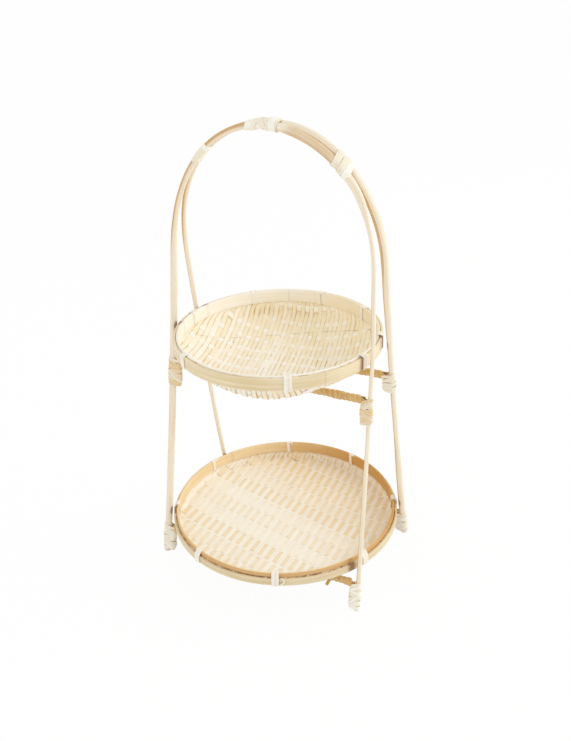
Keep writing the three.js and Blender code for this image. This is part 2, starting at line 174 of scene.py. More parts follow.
class RackFinishes(bpy.types.PropertyGroup):
    """Colours of the canes, peels, bands and splints"""

    cane: colour("Cane", "Peeled cane", "f9f0df")
    cane_shade: colour("Cane Shade", "Darker streaks of the cane", "ecd8b6")
    bar_cane: colour("Bar Cane", "Cane of the cross bars", "dfba7c")
    # Also painted shade along the side of each hoop away from the light and between the hoops
    cane_skin_and_shade: colour("Cane Skin", "Tan skin left on one side of the cane", "d2a768")
    cut_end: colour("Cut End", "Cut ends of the canes", "8f6a48")
    golden_peel: colour("Golden Peel", "Peel along the cross bars", "cf9b55")
    golden_edge: colour("Golden Edge", "Pale edges of that peel", "f5e4bd")
    cream_peel: colour("Cream Peel", "Peel of the ties at the top", "fffcf4")
    pale_tie: colour("Pale Tie", "Shaded stretches of that peel", "f6eeda")
    joint_peel: colour("Joint Peel", "Peel of the ties at the bars", "f8f0df")
    joint_streak: colour("Joint Streak", "Golden streaks in those ties", "ebd1a0")
    upper_band: colour("Upper Band", "Inner band of the upper tray", "fefcf6")
    upper_band_dark: colour("Upper Band Dark", "Streaks in that band", "fbf3e0")
    # Painted shade of the upper inner band where it faces away from the light
    upper_band_shade: colour("Upper Band Deep", "Golden stretch of that band", "f5e6c5")
    upper_outer: colour("Upper Outer", "Outer band of the upper tray", "f5e9cb")
    upper_outer_dark: colour("Upper Outer Dark", "Streaks in that band", "e4cea2")
    lower_band: colour("Lower Band", "Inner band of the lower tray", "fae6bf")
    lower_band_dark: colour("Lower Band Dark", "Streaks in that band", "edcf9b")
    lower_outer: colour("Lower Outer", "Outer band of the lower tray", "ecdbb9")
    lower_outer_dark: colour("Lower Outer Dark", "Streaks in that band", "d9c498")
    # Painted shade of the lower inner band where it faces away from the light, and the gold of its outer half
    lower_band_gold_and_shade: colour("Deep Band", "Golden stretch of the lower bands", "d19e58")
    upper_weft: colour("Upper Weft", "Narrow splints of the upper tray", "fff9ea")
    upper_weft_tan: colour("Upper Weft Tan", "Darker splints among them", "fbf0d6")
    # Painted shade, golden, towards the back and right of each mat
    upper_weft_back_shade: colour("Upper Weft Gold", "Golden tint of the splints at the back", "f9e6b4")
    lower_weft_back_shade: colour("Lower Weft Gold", "Golden tint in the lower tray", "edc98e")
    lower_weft_shade: colour("Lower Weft Shade", "Paler cross splints of the lower tray", "fdf8ea")
    upper_warp: colour("Upper Warp", "Cross splints of the upper tray", "fdfaf1")
    lower_weft: colour("Lower Weft", "Narrow splints of the lower tray", "fffcf3")
    lower_warp: colour("Lower Warp", "Cross splints of the lower tray", "f6e7c9")
    # Also painted shade between the splints
    splint_edge: colour("Splint Edge", "Long edges of the splints", "d9b273")
    splint_dark: colour("Splint Dark", "Fibres and burnt cut edges", "8f5c30")


# Paths read from the frame


# Heights between which the legs turn into the arch, and how far from the crown each side takes its own lay
ARCH_LEVELS = (0.375, 0.44)
ARCH_BLEND = 30 * MM
# Added to each hoop's radius on the right of the arch, and how far it lies outwards there
STOUT_ARCH = {"front": (0.75 * MM, -0.9 * MM), "back": (0.55 * MM, 0.3 * MM)}
# Taken from both radii on the left of the arch
SLIM_ARCH = 0.6 * MM
# Radius to which each right leg is thinned, and the heights where that fades in and out
THIN_LEGS = {
    "front": (2.35 * MM, (0.17, 0.23), (0.455, 0.485)),
    "back": (3.2 * MM, (0.09, 0.18), (0.29, 0.37)),
}
# How far the front right leg bows inwards under the arch, and the heights where that fades in and out
FRONT_BOW = 3 * MM
BOW_RISE = (0.33, 0.4)
BOW_FALL = (0.455, 0.495)
# How much shorter the right end of a bar and its tie are than their solids
SHORT_ENDS = {"upper_back_bar": 10 * MM, "upper_front_bar": 5 * MM}
# From the corner of an elbow to where its bend starts, and the points of the bend
ELBOW = 5 * MM
ELBOW_POINTS = 7
# Longest distance between the points of a bar
LONGEST_STEP = 12 * MM


def distances(points):
    """How far along the line through them each point is."""
    steps = np.linalg.norm(np.diff(points, axis=0), axis=1)
    return np.concatenate(([0.0], np.cumsum(steps)))


class Path:
    """A smooth line through points, with a radius at each, measured along its length."""

    def __init__(self, points, radii):
        self.points = np.array(points, float)
        self.radii = np.array(radii, float)
        self.marks = distances(self.points)
        self.length = self.marks[-1]
        self.slopes = np.gradient(self.points, self.marks, axis=0)

    def at(self, along):
        """Points at the given distances along the path."""
        along = np.clip(along, 0, self.length)
        start = np.clip(np.searchsorted(self.marks, along, side="right") - 1, 0, len(self.marks) - 2)
        span = (self.marks[start + 1] - self.marks[start])[:, None]
        t = (along - self.marks[start])[:, None] / span
        return (
            (1 + 2 * t) * (1 - t) ** 2 * self.points[start]
            + t * (1 - t) ** 2 * span * self.slopes[start]
            + t**2 * (3 - 2 * t) * self.points[start + 1]
            + t**2 * (t - 1) * span * self.slopes[start + 1]
        )

    def radius(self, along):
        """Radii at the given distances along the path."""
        return np.interp(along, self.marks, self.radii)

    def sampled(self, count):
        """A number of even distances along the path, and the points there."""
        along = np.linspace(0, self.length, count)
        return along, self.at(along)


def unit(vectors):
    """Each row scaled to length 1."""
    return vectors / np.linalg.norm(vectors, axis=-1, keepdims=True)


def stick_path(node):
    """Centre line of a round stick of the frame, from its left end to its right end."""
    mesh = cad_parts[node].data
    # Corners within a hundredth of a millimetre are one
    digits = 5
    rounded = [tuple(round(c, digits) for c in vertex.co) for vertex in mesh.vertices]
    corners_of = {}
    for face in mesh.polygons:
        corners = [rounded[i] for i in face.vertices]
        for corner in corners:
            corners_of.setdefault(corner, set()).update(corners)
    left = min((c for c in corners_of if c[0] < 0), key=lambda c: c[2])
    # Wider than any stick, so the first ring is the whole end
    end_size = 12 * MM
    ring = {c for c in corners_of if math.dist(c, left) < end_size}
    seen = set()
    centres = []
    radii = []
    while ring:
        places = np.array(sorted(ring))
        centres.append(places.mean(axis=0))
        radii.append(np.linalg.norm(places - centres[-1], axis=1).mean())
        seen |= ring
        ring = set().union(*(corners_of[c] for c in ring)) - seen
    return Path(centres, radii)


def ease(value, low, high):
    """Smoothly 0 below low and 1 above high."""
    share = np.clip((value - low) / (high - low), 0, 1)
    return share * share * (3 - 2 * share)


def between(value, rise, fall):
    """Smoothly 1 between two ranges, and 0 below the first and above the second."""
    return ease(value, *rise) * (1 - ease(value, *fall))


def arch_side(points, side):
    """1 on one side of the arch, smoothly 0 at the crown and down the legs."""
    return ease(points[:, 0] * side, 0, ARCH_BLEND) * ease(points[:, 2], *ARCH_LEVELS)


def hoop_paths():
    """Centre lines of both hoops: close together on the left of the arch, stout on its right, thin below."""
    front = stick_path("front_hoop")
    back = stick_path("back_hoop")
    beside = front.at(back.marks) * (1, -1, 1)
    back_points = back.points + (beside - back.points) * arch_side(back.points, -1)[:, None]
    paths = {}
    for half, path, points in (("front", front, front.points), ("back", back, back_points)):
        swell, outward = STOUT_ARCH[half]
        stout = arch_side(points, 1)
        away = unit(points * (1, 0, 1) - np.array((0, 0, ARCH_LEVELS[1])))
        points = points + away * (outward * stout)[:, None]
        radii = path.radii + swell * stout - SLIM_ARCH * arch_side(points, -1)
        right = ease(points[:, 0], 0, ARCH_BLEND)
        thin, rise, fall = THIN_LEGS[half]
        radii = radii + (thin - radii) * right * between(points[:, 2], rise, fall)
        if half == "front":
            points[:, 0] -= FRONT_BOW * right * between(points[:, 2], BOW_RISE, BOW_FALL)
        paths[half] = Path(points, radii)
    return paths


def bar_path(node):
    """Centre line of a cross bar, with its elbows bent close to the legs."""
    path = stick_path(node)
    longest = np.argmax(np.diff(path.marks))
    middle = path.points[[longest, longest + 1]]
    run = unit(middle[1] - middle[0])
    ends = path.points[[0, -1]]
    ends[1] += unit(path.points[-2] - ends[1]) * SHORT_ENDS.get(node, 0)
    corners = []
    for end, inner in zip(ends, path.points[[1, -2]]):
        rise = unit(inner - end)
        normal = np.cross(np.cross(rise, run), run)
        corners.append(end + rise * ((middle[0] - end) @ normal / (rise @ normal)))
    stops = [ends[0]]
    for corner, before, after in ((corners[0], ends[0], corners[1]), (corners[1], corners[0], ends[1])):
        start = corner + unit(before - corner) * ELBOW
        stop = corner + unit(after - corner) * ELBOW
        for t in np.linspace(0, 1, ELBOW_POINTS):
            stops.append(start * (1 - t) ** 2 + corner * 2 * t * (1 - t) + stop * t**2)
    stops.append(ends[1])
    points = [stops[0]]
    for a, b in zip(stops, stops[1:]):
        parts = max(1, round(np.linalg.norm(b - a) / LONGEST_STEP))
        for part in range(1, parts + 1):
            points.append(a + (b - a) * part / parts)
    return Path(points, np.full(len(points), path.radii.mean()))


class Upright:
    """The stretch of a path on one side of the rack, looked up by height."""

    def __init__(self, path, side):
        along, points = path.sampled(count=2000)
        keep = points[:, 0] * side > 0
        order = np.argsort(points[keep][:, 2], kind="stable")
        self.points = points[keep][order]
        self.radii = path.radius(along)[keep][order]

    def at(self, heights):
        """Centres and radii at the given heights."""
        levels = self.points[:, 2]
        centres = np.stack([np.interp(heights, levels, self.points[:, k]) for k in range(3)], axis=-1)
        return centres, np.interp(heights, levels, self.radii)


HOOPS = hoop_paths()
BARS = {(tier, half): bar_path(f"{tier}_{half}_bar") for tier in TIERS for half in HALVES}


# Modelling helpers


def deselect():
    """Leaves nothing selected and no object in edit mode."""
    if bpy.context.object and bpy.context.object.mode != "OBJECT":
        bpy.ops.object.mode_set(mode="OBJECT")
    bpy.ops.object.select_all(action="DESELECT")


def make_active(piece):
    """Selects one piece alone."""
    deselect()
    piece.select_set(True)
    bpy.context.view_layer.objects.active = piece


def grid_piece(name, rows, across_marks, along_marks):
    """A grid laid on rows of points, with its UV map set to the given marks."""
    count, width = rows.shape[:2]
    deselect()
    bpy.ops.mesh.primitive_grid_add(x_subdivisions=width - 1, y_subdivisions=count - 1, size=1)
    piece = bpy.context.object
    piece.name = name
    mesh = piece.data
    mesh.name = name
    mesh.vertices.foreach_set("co", rows.reshape(-1))
    corners = np.empty(len(mesh.loops), dtype=np.int32)
    mesh.loops.foreach_get("vertex_index", corners)
    across, along = np.meshgrid(across_marks, along_marks)
    marks = np.stack((across.reshape(-1), along.reshape(-1)), axis=-1)[corners]
    mesh.uv_layers[0].data.foreach_set("uv", marks.reshape(-1))
    mesh.update()
    return piece


def weld(piece):
    """Merges the seam of a rolled grid and turns its faces outwards."""
    make_active(piece)
    bpy.ops.object.mode_set(mode="EDIT")
    bpy.ops.mesh.select_all(action="SELECT")
    bpy.ops.mesh.remove_doubles(threshold=1e-6)
    bpy.ops.mesh.select_all(action="SELECT")
    bpy.ops.mesh.normals_make_consistent(inside=False)
    bpy.ops.object.mode_set(mode="OBJECT")


def thicken(piece, thickness, offset=-1.0):
    """Gives a sheet its thickness."""
    make_active(piece)
    wall = piece.modifiers.new("Thickness", "SOLIDIFY")
    wall.thickness = thickness
    wall.offset = offset
    bpy.ops.object.modifier_apply(modifier=wall.name)


def joined(name, pieces):
    """Joins pieces into one under a name."""
    make_active(pieces[0])
    for piece in pieces:
        piece.select_set(True)
    if len(pieces) > 1:
        bpy.ops.object.join()
    piece = bpy.context.object
    piece.name = name
    piece.data.name = name
    return piece


def settle(piece, body, slot, finish, *nodes, smooth=50):
    """Finishes a piece and seats it on its body in place of the given nodes."""
    make_active(piece)
    bpy.ops.object.shade_smooth_by_angle(angle=math.radians(smooth))
    piece.data.materials.clear()
    piece.data.materials.append(finish)
    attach(piece, body)
    if nodes:
        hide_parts(*nodes)


def mark(piece, name, values):
    """Keeps one value for each point of a piece in an attribute."""
    values = np.ascontiguousarray(values, dtype=np.float32)
    piece.data.attributes.new(name, "FLOAT", "POINT").data.foreach_set("value", values.reshape(-1))


# The side of each hoop, away from the light, where its tan skin and painted shade go
SKIN_AND_SHADE_SIDES = {"front": (-1.0, -0.15, 0.0), "back": (-0.92, -0.39, 0.0)}
# Share by which that skin and painted shade are fainter on the right of the arch
FAINTER_RIGHT = 0.6
# How squarely a place on the back hoop faces the front hoop where the painted shade between them starts and
# is full
TOUCH_SHADE = (0.82, 0.97)
# How squarely a place on a leg faces a tray where its painted contact shade starts and is full,
# and how soon that fades above and below the rim
CONTACT_SHADE_FACING = (0.0, 0.7)
CONTACT_SHADE_FADE = 2.2


def hoop_skin_and_shade(half, centres, spokes):
    """Where a hoop is painted tan, from 0 to about 1: its skin, and painted shade away from the light and
    between the hoops.
    """
    on_arch = ease(centres[:, 2], *ARCH_LEVELS)[:, None]
    on_left = arch_side(centres, -1)[:, None]
    on_right = arch_side(centres, 1)[:, None]
    # Over the left of the arch there is skin and painted shade all round, and most above
    share = np.clip(spokes @ unit(np.array(SKIN_AND_SHADE_SIDES[half])), 0, 1) * 1.15
    share = share * (1 + 0.15 * on_arch) + on_left * (0.6 + 0.5 * np.clip(spokes[..., 2], 0, 1))
    share = share * (1 - FAINTER_RIGHT * on_right)
    # On the right of the arch above its tie, the front hoop gets painted shade where the back hoop lies over
    # it
    if half == "front":
        above_tie = ease(centres[:, 2], *(level.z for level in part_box("right_shoulder_lashing")))
        return share + on_right * above_tie[:, None] * 0.84
    # The back hoop has a line of painted shade where the front hoop lies against it
    _, places = HOOPS["front"].sampled(count=3000)
    nearest = [places[np.argmin(np.linalg.norm(places - centre, axis=1))] for centre in centres]
    toward = unit(np.array(nearest) - centres)
    facing = (spokes * toward[:, None]).sum(axis=-1)
    return share + on_right * ease(facing, *TOUCH_SHADE) * 1.2


def hoop_contact_shade(centres, spokes):
    """Painted contact shade on the legs, brown at the rims on the side of the tray."""
    inward = unit(centres * (-1, -1, 0))
    facing = ease((spokes * inward[:, None]).sum(axis=-1), *CONTACT_SHADE_FACING)
    share = np.zeros(spokes.shape[:2])
    for tier in TIERS:
        low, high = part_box(f"{tier}_outer_band")
        from_rim = (centres[:, 2] - (low.z + high.z) / 2) / (high.z - low.z)
        share = np.maximum(share, facing * np.exp(-((CONTACT_SHADE_FADE * from_rim) ** 2))[:, None])
    return share


# Rings that round a cut end: how far each is set back, in roundings, and its share of the cane's radius
CUT_RINGS = ((0.0, 0.0), (0.0, 0.86), (0.4, 0.96), (1.6, 1.0))
# How far past a growth ring a cane starts, as a share of their spacing
NODE_START = 0.35
# How the thickness of a cane wanders: radians to the metre along it, and how far it lags round the cane
WANDER_WAVE = 48
WANDER_LAG = 2


def cane(name, path, sizes, level_ends, hoop=None):
    """A round cane along a path, with growth rings and rounded cut ends."""
    setbacks = sizes.cut_round * np.array([setback for setback, _ in CUT_RINGS])
    inner = np.linspace(0, path.length, round(path.length / sizes.step) + 1)[1:-1]
    along = np.concatenate((setbacks, inner, path.length - setbacks[::-1]))
    shares = np.array([share for _, share in CUT_RINGS])
    narrow = np.concatenate((shares, np.ones(len(inner)), shares[::-1]))
    centres = path.at(along)
    eps = 0.5 * MM
    axis = unit(path.at(along + eps) - path.at(along - eps))
    across = unit(DEPTH - axis * axis[:, 1:2])
    third = np.cross(axis, across)
    phase = along / sizes.node_spacing + NODE_START
    from_node = (phase - np.round(phase)) * sizes.node_spacing
    swell = sizes.node_swell * np.exp(-((from_node / sizes.node_width) ** 2))
    turns = np.linspace(0, 2 * math.pi, sizes.sides + 1)
    wander = sizes.wander * np.sin(WANDER_WAVE * along[:, None] + WANDER_LAG * np.sin(turns)[None])
    radii = (path.radius(along) - sizes.node_swell / 2 + swell)[:, None] + wander / 2
    radii = radii * narrow[:, None]
    spokes = across[:, None] * np.cos(turns)[None, :, None] + third[:, None] * np.sin(turns)[None, :, None]
    rows = centres[:, None] + spokes * radii[..., None]
    rows[:, -1] = rows[:, 0]
    if level_ends:
        # A foot is cut level, so its rings slide along the cane to stand on the floor
        for number, setback in enumerate(setbacks):
            for ring in (number, -1 - number):
                lift = setback - rows[ring, :, 2]
                rows[ring] += axis[ring] * (lift / axis[ring, 2])[:, None]
    piece = grid_piece(name, rows, turns / (2 * math.pi), along)
    cut = np.zeros((len(along), len(turns)))
    cut[:2] = 1
    cut[-2:] = 1
    mark(piece, "cut", cut)
    # Hoops keep where their skin and painted shade go, and their painted contact shade at the rims
    if hoop:
        mark(piece, "skin", hoop_skin_and_shade(hoop, centres, spokes))
        mark(piece, "rub", hoop_contact_shade(centres, spokes))
    weld(piece)
    return piece


# Faces across a peel
PEEL_PARTS = 4


def strip_marks(number, parts):
    """Marks across a strip: its number, for a tone of its own, plus the share of its width."""
    return number + np.linspace(0.02, 0.98, parts + 1)


def peel(number, centres, outward, width, sizes, crown=None):
    """One numbered length of peel through the centres, of one width or a width at each centre."""
    sideways = unit(np.cross(unit(np.gradient(centres, axis=0)), outward))
    shares = np.linspace(-1, 1, PEEL_PARTS + 1)
    bulge = (crown or sizes.crown) * (1 - shares**2)
    widths = np.broadcast_to(width, len(centres))
    rows = (
        centres[:, None]
        + sideways[:, None] * (shares[None, :, None] * widths[:, None, None] / 2)
        + outward[:, None] * bulge[None, :, None]
    )
    piece = grid_piece(f"peel_{number}", rows, strip_marks(number, PEEL_PARTS), distances(centres))
    thicken(piece, sizes.thickness)
    return piece


# Share of a turn round two canes that lies on each of them; the rest crosses from one to the other
PAIR_ARC = 0.34
# Shares of a turn round leg and rod at which it is outermost on the rod and on the leg
ROD_HIGH = 0.17
LEG_HIGH = 0.67
RING_POINTS = 45


def pair_loop(share):
    """Place on a loop round two canes: weight towards the second cane, and the angle."""
    share = np.mod(share, 1.0)
    turns = (0, PAIR_ARC, 0.5, 0.5 + PAIR_ARC, 1)
    weight = np.interp(share, turns, (1, 1, 0, 0, 1))
    angle = math.pi * np.interp(share, turns, (-0.5, 0.5, 0.5, 1.5, 1.5))
    return weight, angle


def ring(core, place, lift, tilt, highest):
    """Centres and outward directions of one turn of peel round two canes, highest at a share of the turn."""
    loop = np.linspace(0, 1, RING_POINTS)
    along = place + tilt * np.cos(2 * math.pi * (loop - highest))
    first, first_radius, second, second_radius, axis = core(along)
    toward = unit(second - first)
    upward = unit(np.cross(axis, toward))
    weight, angle = pair_loop(loop)
    outward = toward * np.cos(angle)[:, None] + upward * np.sin(angle)[:, None]
    around_first = first + outward * (first_radius + lift)[:, None]
    around_second = second + outward * (second_radius + lift)[:, None]
    return around_first + (around_second - around_first) * weight[:, None], outward


def ring_peels(core, rings, sizes, crown, number=0):
    """Lengths of peel for rings given by place, lift, width, tilt and the share where they are highest."""
    pieces = []
    for place, lift, width, tilt, highest in rings:
        centres, outward = ring(core, place, lift, tilt, highest)
        pieces.append(peel(number, centres, outward, width, sizes, crown))
        number += 1
    return pieces


# A slanted loop over a bar: where round the leg it starts, in turns, the points of a turn, how far its middle
# is below the bar, and how far it rises and falls
COLLAR_START = -0.62
COLLAR_POINTS = 40
COLLAR_DROP = 3.2 * MM
COLLAR_RISE = 5.6 * MM


def collar(leg, side, bar_height, lift, turns):
    """Centres and outward directions of a slanted loop round a leg, highest on its inner side."""
    turn = COLLAR_START + np.linspace(0, turns, round(turns * COLLAR_POINTS) + 1)
    turn = 2 * math.pi * turn
    heights = bar_height - COLLAR_DROP + COLLAR_RISE * np.cos(turn)
    centres, radii = leg.at(heights)
    outward = np.stack((-side * np.cos(turn), np.sin(turn), np.zeros(len(turn))), axis=-1)
    return centres + outward * (radii + lift)[:, None], outward


def loose_peel(number, points, facing, widths, sizes):
    """A free length of peel through points, with its broad side to one direction."""
    path = Path(points, np.ones(len(points)))
    along, centres = path.sampled(count=28)
    forward = unit(np.gradient(centres, axis=0))
    outward = facing - forward * (forward @ facing)[:, None]
    return peel(number, centres, unit(outward), np.interp(along / path.length, (0, 1), widths), sizes)


# How much nearer to the bar a lashing reaches than its solid
LASHING_RAISE = 3.5 * MM


def joint_core(half, tier, side):
    """Leg and bent bar end at distances up the leg from the middle of their lashing."""
    node = f"{tier}_{half}_{side}_lashing"
    low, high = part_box(node)
    foot = low.z
    if side == "right":
        foot += SHORT_ENDS.get(f"{tier}_{half}_bar", 0)
    middle = (foot + high.z + LASHING_RAISE) / 2
    leg = Upright(HOOPS[half], SIDES[side])
    rod = Upright(BARS[tier, half], SIDES[side])

    def core(distance):
        heights = middle + distance
        leg_centres, leg_radii = leg.at(heights)
        rod_centres, rod_radii = rod.at(heights)
        axis = unit(leg.at(heights + MM)[0] - leg.at(heights - MM)[0])
        return leg_centres, leg_radii, rod_centres, rod_radii, axis

    return core, (high.z - foot + LASHING_RAISE) / 2, leg


def arch_core(node):
    """Both hoops at distances along the arch from the middle of a lashing."""
    low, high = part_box(node)
    middle = (low.x + high.x) / 2
    lines = []
    for half in HALVES:
        path = HOOPS[half]
        along, points = path.sampled(count=4000)
        on_arch = points[:, 2] > ARCH_LEVELS[1]
        nearest = np.argmin(np.where(on_arch, np.abs(points[:, 0] - middle), 1))
        lines.append((path, along[nearest]))

    def core(distance):
        found = []
        for path, start in lines:
            found.append(path.at(start + distance))
            found.append(path.radius(start + distance))
        path, start = lines[0]
        axis = unit(path.at(start + distance + MM) - path.at(start + distance - MM))
        return found[0], found[1], found[2], found[3], axis

    half_length = math.hypot(high.x - low.x, high.z - low.z) / 2
    return core, half_length


# Finishes


BLACK = (0.0, 0.0, 0.0)
WHITE = (1.0, 1.0, 1.0)
# Specular level of every finish of the rack
SPECULAR = 0.35
# Distance between the growth rings of a band
BAND_NODES = 230 * MM


class Socket:
    """One value in a finish; arithmetic on it adds Math nodes."""

    def __init__(self, finish, output):
        self.finish = finish
        self.output = output

    def math(self, operation, first, second=0.0):
        """A Math node of two values."""
        return self.finish.add("ShaderNodeMath", {"operation": operation}, {0: first, 1: second})

    def __add__(self, other):
        return self.math("ADD", self, other)

    __radd__ = __add__

    def __sub__(self, other):
        return self.math("SUBTRACT", self, other)

    def __rsub__(self, other):
        return self.math("SUBTRACT", other, self)

    def __mul__(self, other):
        return self.math("MULTIPLY", self, other)

    def __truediv__(self, other):
        return self.math("DIVIDE", self, other)

    def __pow__(self, other):
        return self.math("POWER", self, other)

    def part(self, operation):
        """A Math node of one value, such as FLOOR, FRACT, SINE or ABSOLUTE."""
        return self.math(operation, self)


class Finish:
    """A material made of nodes round one Principled shader."""

    def __init__(self, name):
        self.material = bpy.data.materials.new(name)
        self.material.use_nodes = True
        self.nodes = self.material.node_tree.nodes
        self.links = self.material.node_tree.links
        self.shader = self.nodes["Principled BSDF"]

    def add(self, kind, settings, inputs, output=0):
        """A node of a kind with its settings, and the values or links of its sockets."""
        node = self.nodes.new(kind)
        for key, value in settings.items():
            setattr(node, key, value)
        for key, value in inputs.items():
            self.set(node.inputs[key], value)
        return Socket(self, node.outputs[output])

    def set(self, socket, value):
        """Links or sets one input."""
        if isinstance(value, Socket):
            self.links.new(value.output, socket)
        elif socket.type == "RGBA" and len(value) == 3:
            socket.default_value = (*value, 1)
        else:
            socket.default_value = value

    def place(self):
        """Object coordinates."""
        return self.add("ShaderNodeTexCoord", {}, {}, "Object")

    def split(self, vector):
        """The three parts of a vector."""
        node = self.add("ShaderNodeSeparateXYZ", {}, {0: vector}).output.node
        return [Socket(self, output) for output in node.outputs]

    def uv(self):
        """The two marks of the piece's UV map."""
        return self.split(self.add("ShaderNodeTexCoord", {}, {}, "UV"))[:2]

    def attribute(self, name):
        """A value that the piece keeps for each point."""
        return self.add("ShaderNodeAttribute", {"attribute_name": name}, {}, "Fac")

    def vector(self, x, y, z):
        """A vector of three values."""
        return self.add("ShaderNodeCombineXYZ", {}, {0: x, 1: y, 2: z})

    def noise(self, vector, scale, detail=2.0, rough=0.5):
        """Soft noise from 0 to 1."""
        values = {"Vector": vector, "Scale": scale, "Detail": detail, "Roughness": rough}
        return self.add("ShaderNodeTexNoise", {}, values)

    def draw(self, value):
        """A fixed random number from 0 to 1 for each value."""
        return self.add("ShaderNodeTexWhiteNoise", {"noise_dimensions": "1D"}, {"W": value})

    def step(self, value, low, high):
        """Smoothly 0 below low and 1 above high."""
        settings = {"interpolation_type": "SMOOTHSTEP", "clamp": True}
        return self.add("ShaderNodeMapRange", settings, {0: value, 1: low, 2: high, 3: 0.0, 4: 1.0})

    def mix(self, share, first, second):
        """A colour between two."""
        return self.add("ShaderNodeMix", {"data_type": "RGBA"}, {"Factor": share, 6: first, 7: second}, 2)

    def shade(self, share, amount, first):
        """A colour darkened by up to the amount where share is 1."""
        settings = {"data_type": "RGBA", "blend_type": "MULTIPLY"}
        return self.add("ShaderNodeMix", settings, {"Factor": share * amount, 6: first, 7: BLACK}, 2)

    def growth_rings(self, phase, narrow, wide):
        """1 where a phase is whole and 0 away from there."""
        return 1 - self.step((phase - phase.part("ROUND")).part("ABSOLUTE"), narrow, wide)

    def dress(self, **inputs):
        """Feeds the shader. The spaces in its sockets' names are given as underscores."""
        for key, value in inputs.items():
            self.set(self.shader.inputs[key.replace("_", " ")], value)
        return self.material

    def build(self, base, rough, bump, strength, distance):
        """Dresses the shader with a bump whose distance is in millimetres, and returns the material."""
        values = {"Height": bump, "Strength": strength, "Distance": distance * MM}
        normal = self.add("ShaderNodeBump", {}, values)
        return self.dress(Base_Color=base, Roughness=rough, Specular_IOR_Level=SPECULAR, Normal=normal)


def cane_finish(name, tones, spacing):
    """Peeled cane: soft streaks, growth rings, tan skin with painted shade on one side, painted contact shade
    at the rims and brown cut ends.
    """
    pale, dark, skin, cut_end = tones
    finish = Finish(name)
    around, along = finish.uv()
    turn = around * (2 * math.pi)
    cosine = turn.part("COSINE")
    sine = turn.part("SINE")
    streaks = finish.noise(finish.vector(cosine * 1.3, sine * 1.3, along * 9), 2.2, 4.0, 0.6)
    fine = finish.noise(finish.vector(cosine * 9, sine * 9, along * 30), 1.5, 3.0)
    blotches = finish.noise(finish.place(), 14.0, 3.0)
    tone = finish.step(streaks * 0.55 + blotches * 0.3 + fine * 0.15, 0.36, 0.68)
    base = finish.mix(tone * 0.75, pale, dark)
    nodes = finish.growth_rings(along / spacing + NODE_START, 0.002, 0.009)
    base = finish.mix(nodes * 0.12, base, dark)
    # Tan skin, and painted shade on the side away from the light
    strip = finish.step(finish.attribute("skin") + (streaks - 0.5) * 0.3, 0.55, 1.05)
    base = finish.mix(strip * (0.4 + blotches * 0.8), base, skin)
    # Painted contact shade, brown, where a leg meets a rim
    rub = finish.step(finish.attribute("rub") + (blotches - 0.5) * 0.5, 0.35, 0.8)
    base = finish.mix(rub * 0.75, base, cut_end)
    grain = finish.noise(finish.place(), 900.0)
    cut = finish.step(finish.attribute("cut"), 0.35, 0.9)
    base = finish.mix(cut * (0.55 + grain * 0.45), base, cut_end)
    return finish.build(base, 0.42 + streaks * 0.2, streaks * 0.7 + fine * 0.3, 0.15, 0.25)


def peel_finish(name, tones, edge, edge_share, fibre_dark, spread):
    """Peel: fine fibres along each length, pale edges and a tone of its own."""
    finish = Finish(name)
    strip, along = finish.uv()
    share = strip.part("FRACT")
    number = strip.part("FLOOR")
    fibres = finish.noise(finish.vector(share * 9, along * 55, number * 3.7), 1.6, 4.0, 0.65)
    patches = finish.noise(finish.vector(along * 22, number * 5.3, share * 1.2), 1.0)
    tone = finish.step(finish.draw(number + 0.5) * spread + patches * (1 - spread) * 1.3, 0.3, 0.75)
    base = finish.mix(tone, tones[0], tones[1])
    base = finish.shade(finish.step(fibres, 0.45, 0.75), fibre_dark, base)
    rim = finish.step((share - 0.5).part("ABSOLUTE"), 0.5 - edge_share, 0.49)
    base = finish.mix(rim * 0.8, base, edge)
    return finish.build(base, 0.5 + fibres * 0.2, fibres, 0.3, 0.25)


def band_finish(name, tones, stain, contact_shades, golden_from):
    """Split bamboo: long grain, growth rings, small stains, golden painted shade away from the light, painted
    shadows of the legs and a golden outer half.
    """
    pale, dark, deep = tones
    finish = Finish(name)
    girth, along = finish.uv()
    across, back, height = finish.split(finish.place())
    grain = finish.noise(finish.vector(height * 420, along * 9, girth), 1.0, 5.0, 0.6)
    fine = finish.noise(finish.vector(height * 1600, along * 24, girth * 2), 1.0, 3.0)
    patches = finish.noise(finish.vector(along * 13, height * 25, 4.0), 1.0)
    tone = finish.step(grain * 0.6 + patches * 0.4, 0.34, 0.68)
    base = finish.mix(tone, pale, dark)
    base = finish.shade(finish.step(fine, 0.5, 0.8), 0.1, base)
    nodes = finish.growth_rings(along / BAND_NODES, 0.0015, 0.005)
    base = finish.shade(nodes * finish.step(patches, 0.4, 0.6), 0.16, base)
    specks = finish.noise(finish.vector(along * 160, height * 300, 9.0), 1.0)
    base = finish.mix(finish.step(specks, 0.74, 0.82) * 0.7, base, stain)
    # Painted shade: golden at the right and back, where the band faces away from the light
    if deep:
        side = across * 0.7 + back * 0.7 + (patches - 0.5) * 0.04
        base = finish.mix(finish.step(side, 0.03, 0.13), base, deep)
    # Painted shadows of the legs, in the stain colour, close beside each leg
    for x, y in contact_shades:
        gap = ((across - x) ** 2.0 + (back - y) ** 2.0) ** 0.5
        rub = 1 - finish.step(gap + (grain - 0.5) * 0.004, 1.5 * MM, 8 * MM)
        base = finish.mix(rub * 0.85, base, stain)
    if golden_from:
        radius = (across**2.0 + back**2.0) ** 0.5
        base = finish.mix(finish.step(radius, golden_from, golden_from + 0.8 * MM) * 0.7, base, deep)
    return finish.build(base, 0.42 + grain * 0.22, grain * 0.6 + fine * 0.4, 0.35, 0.3)


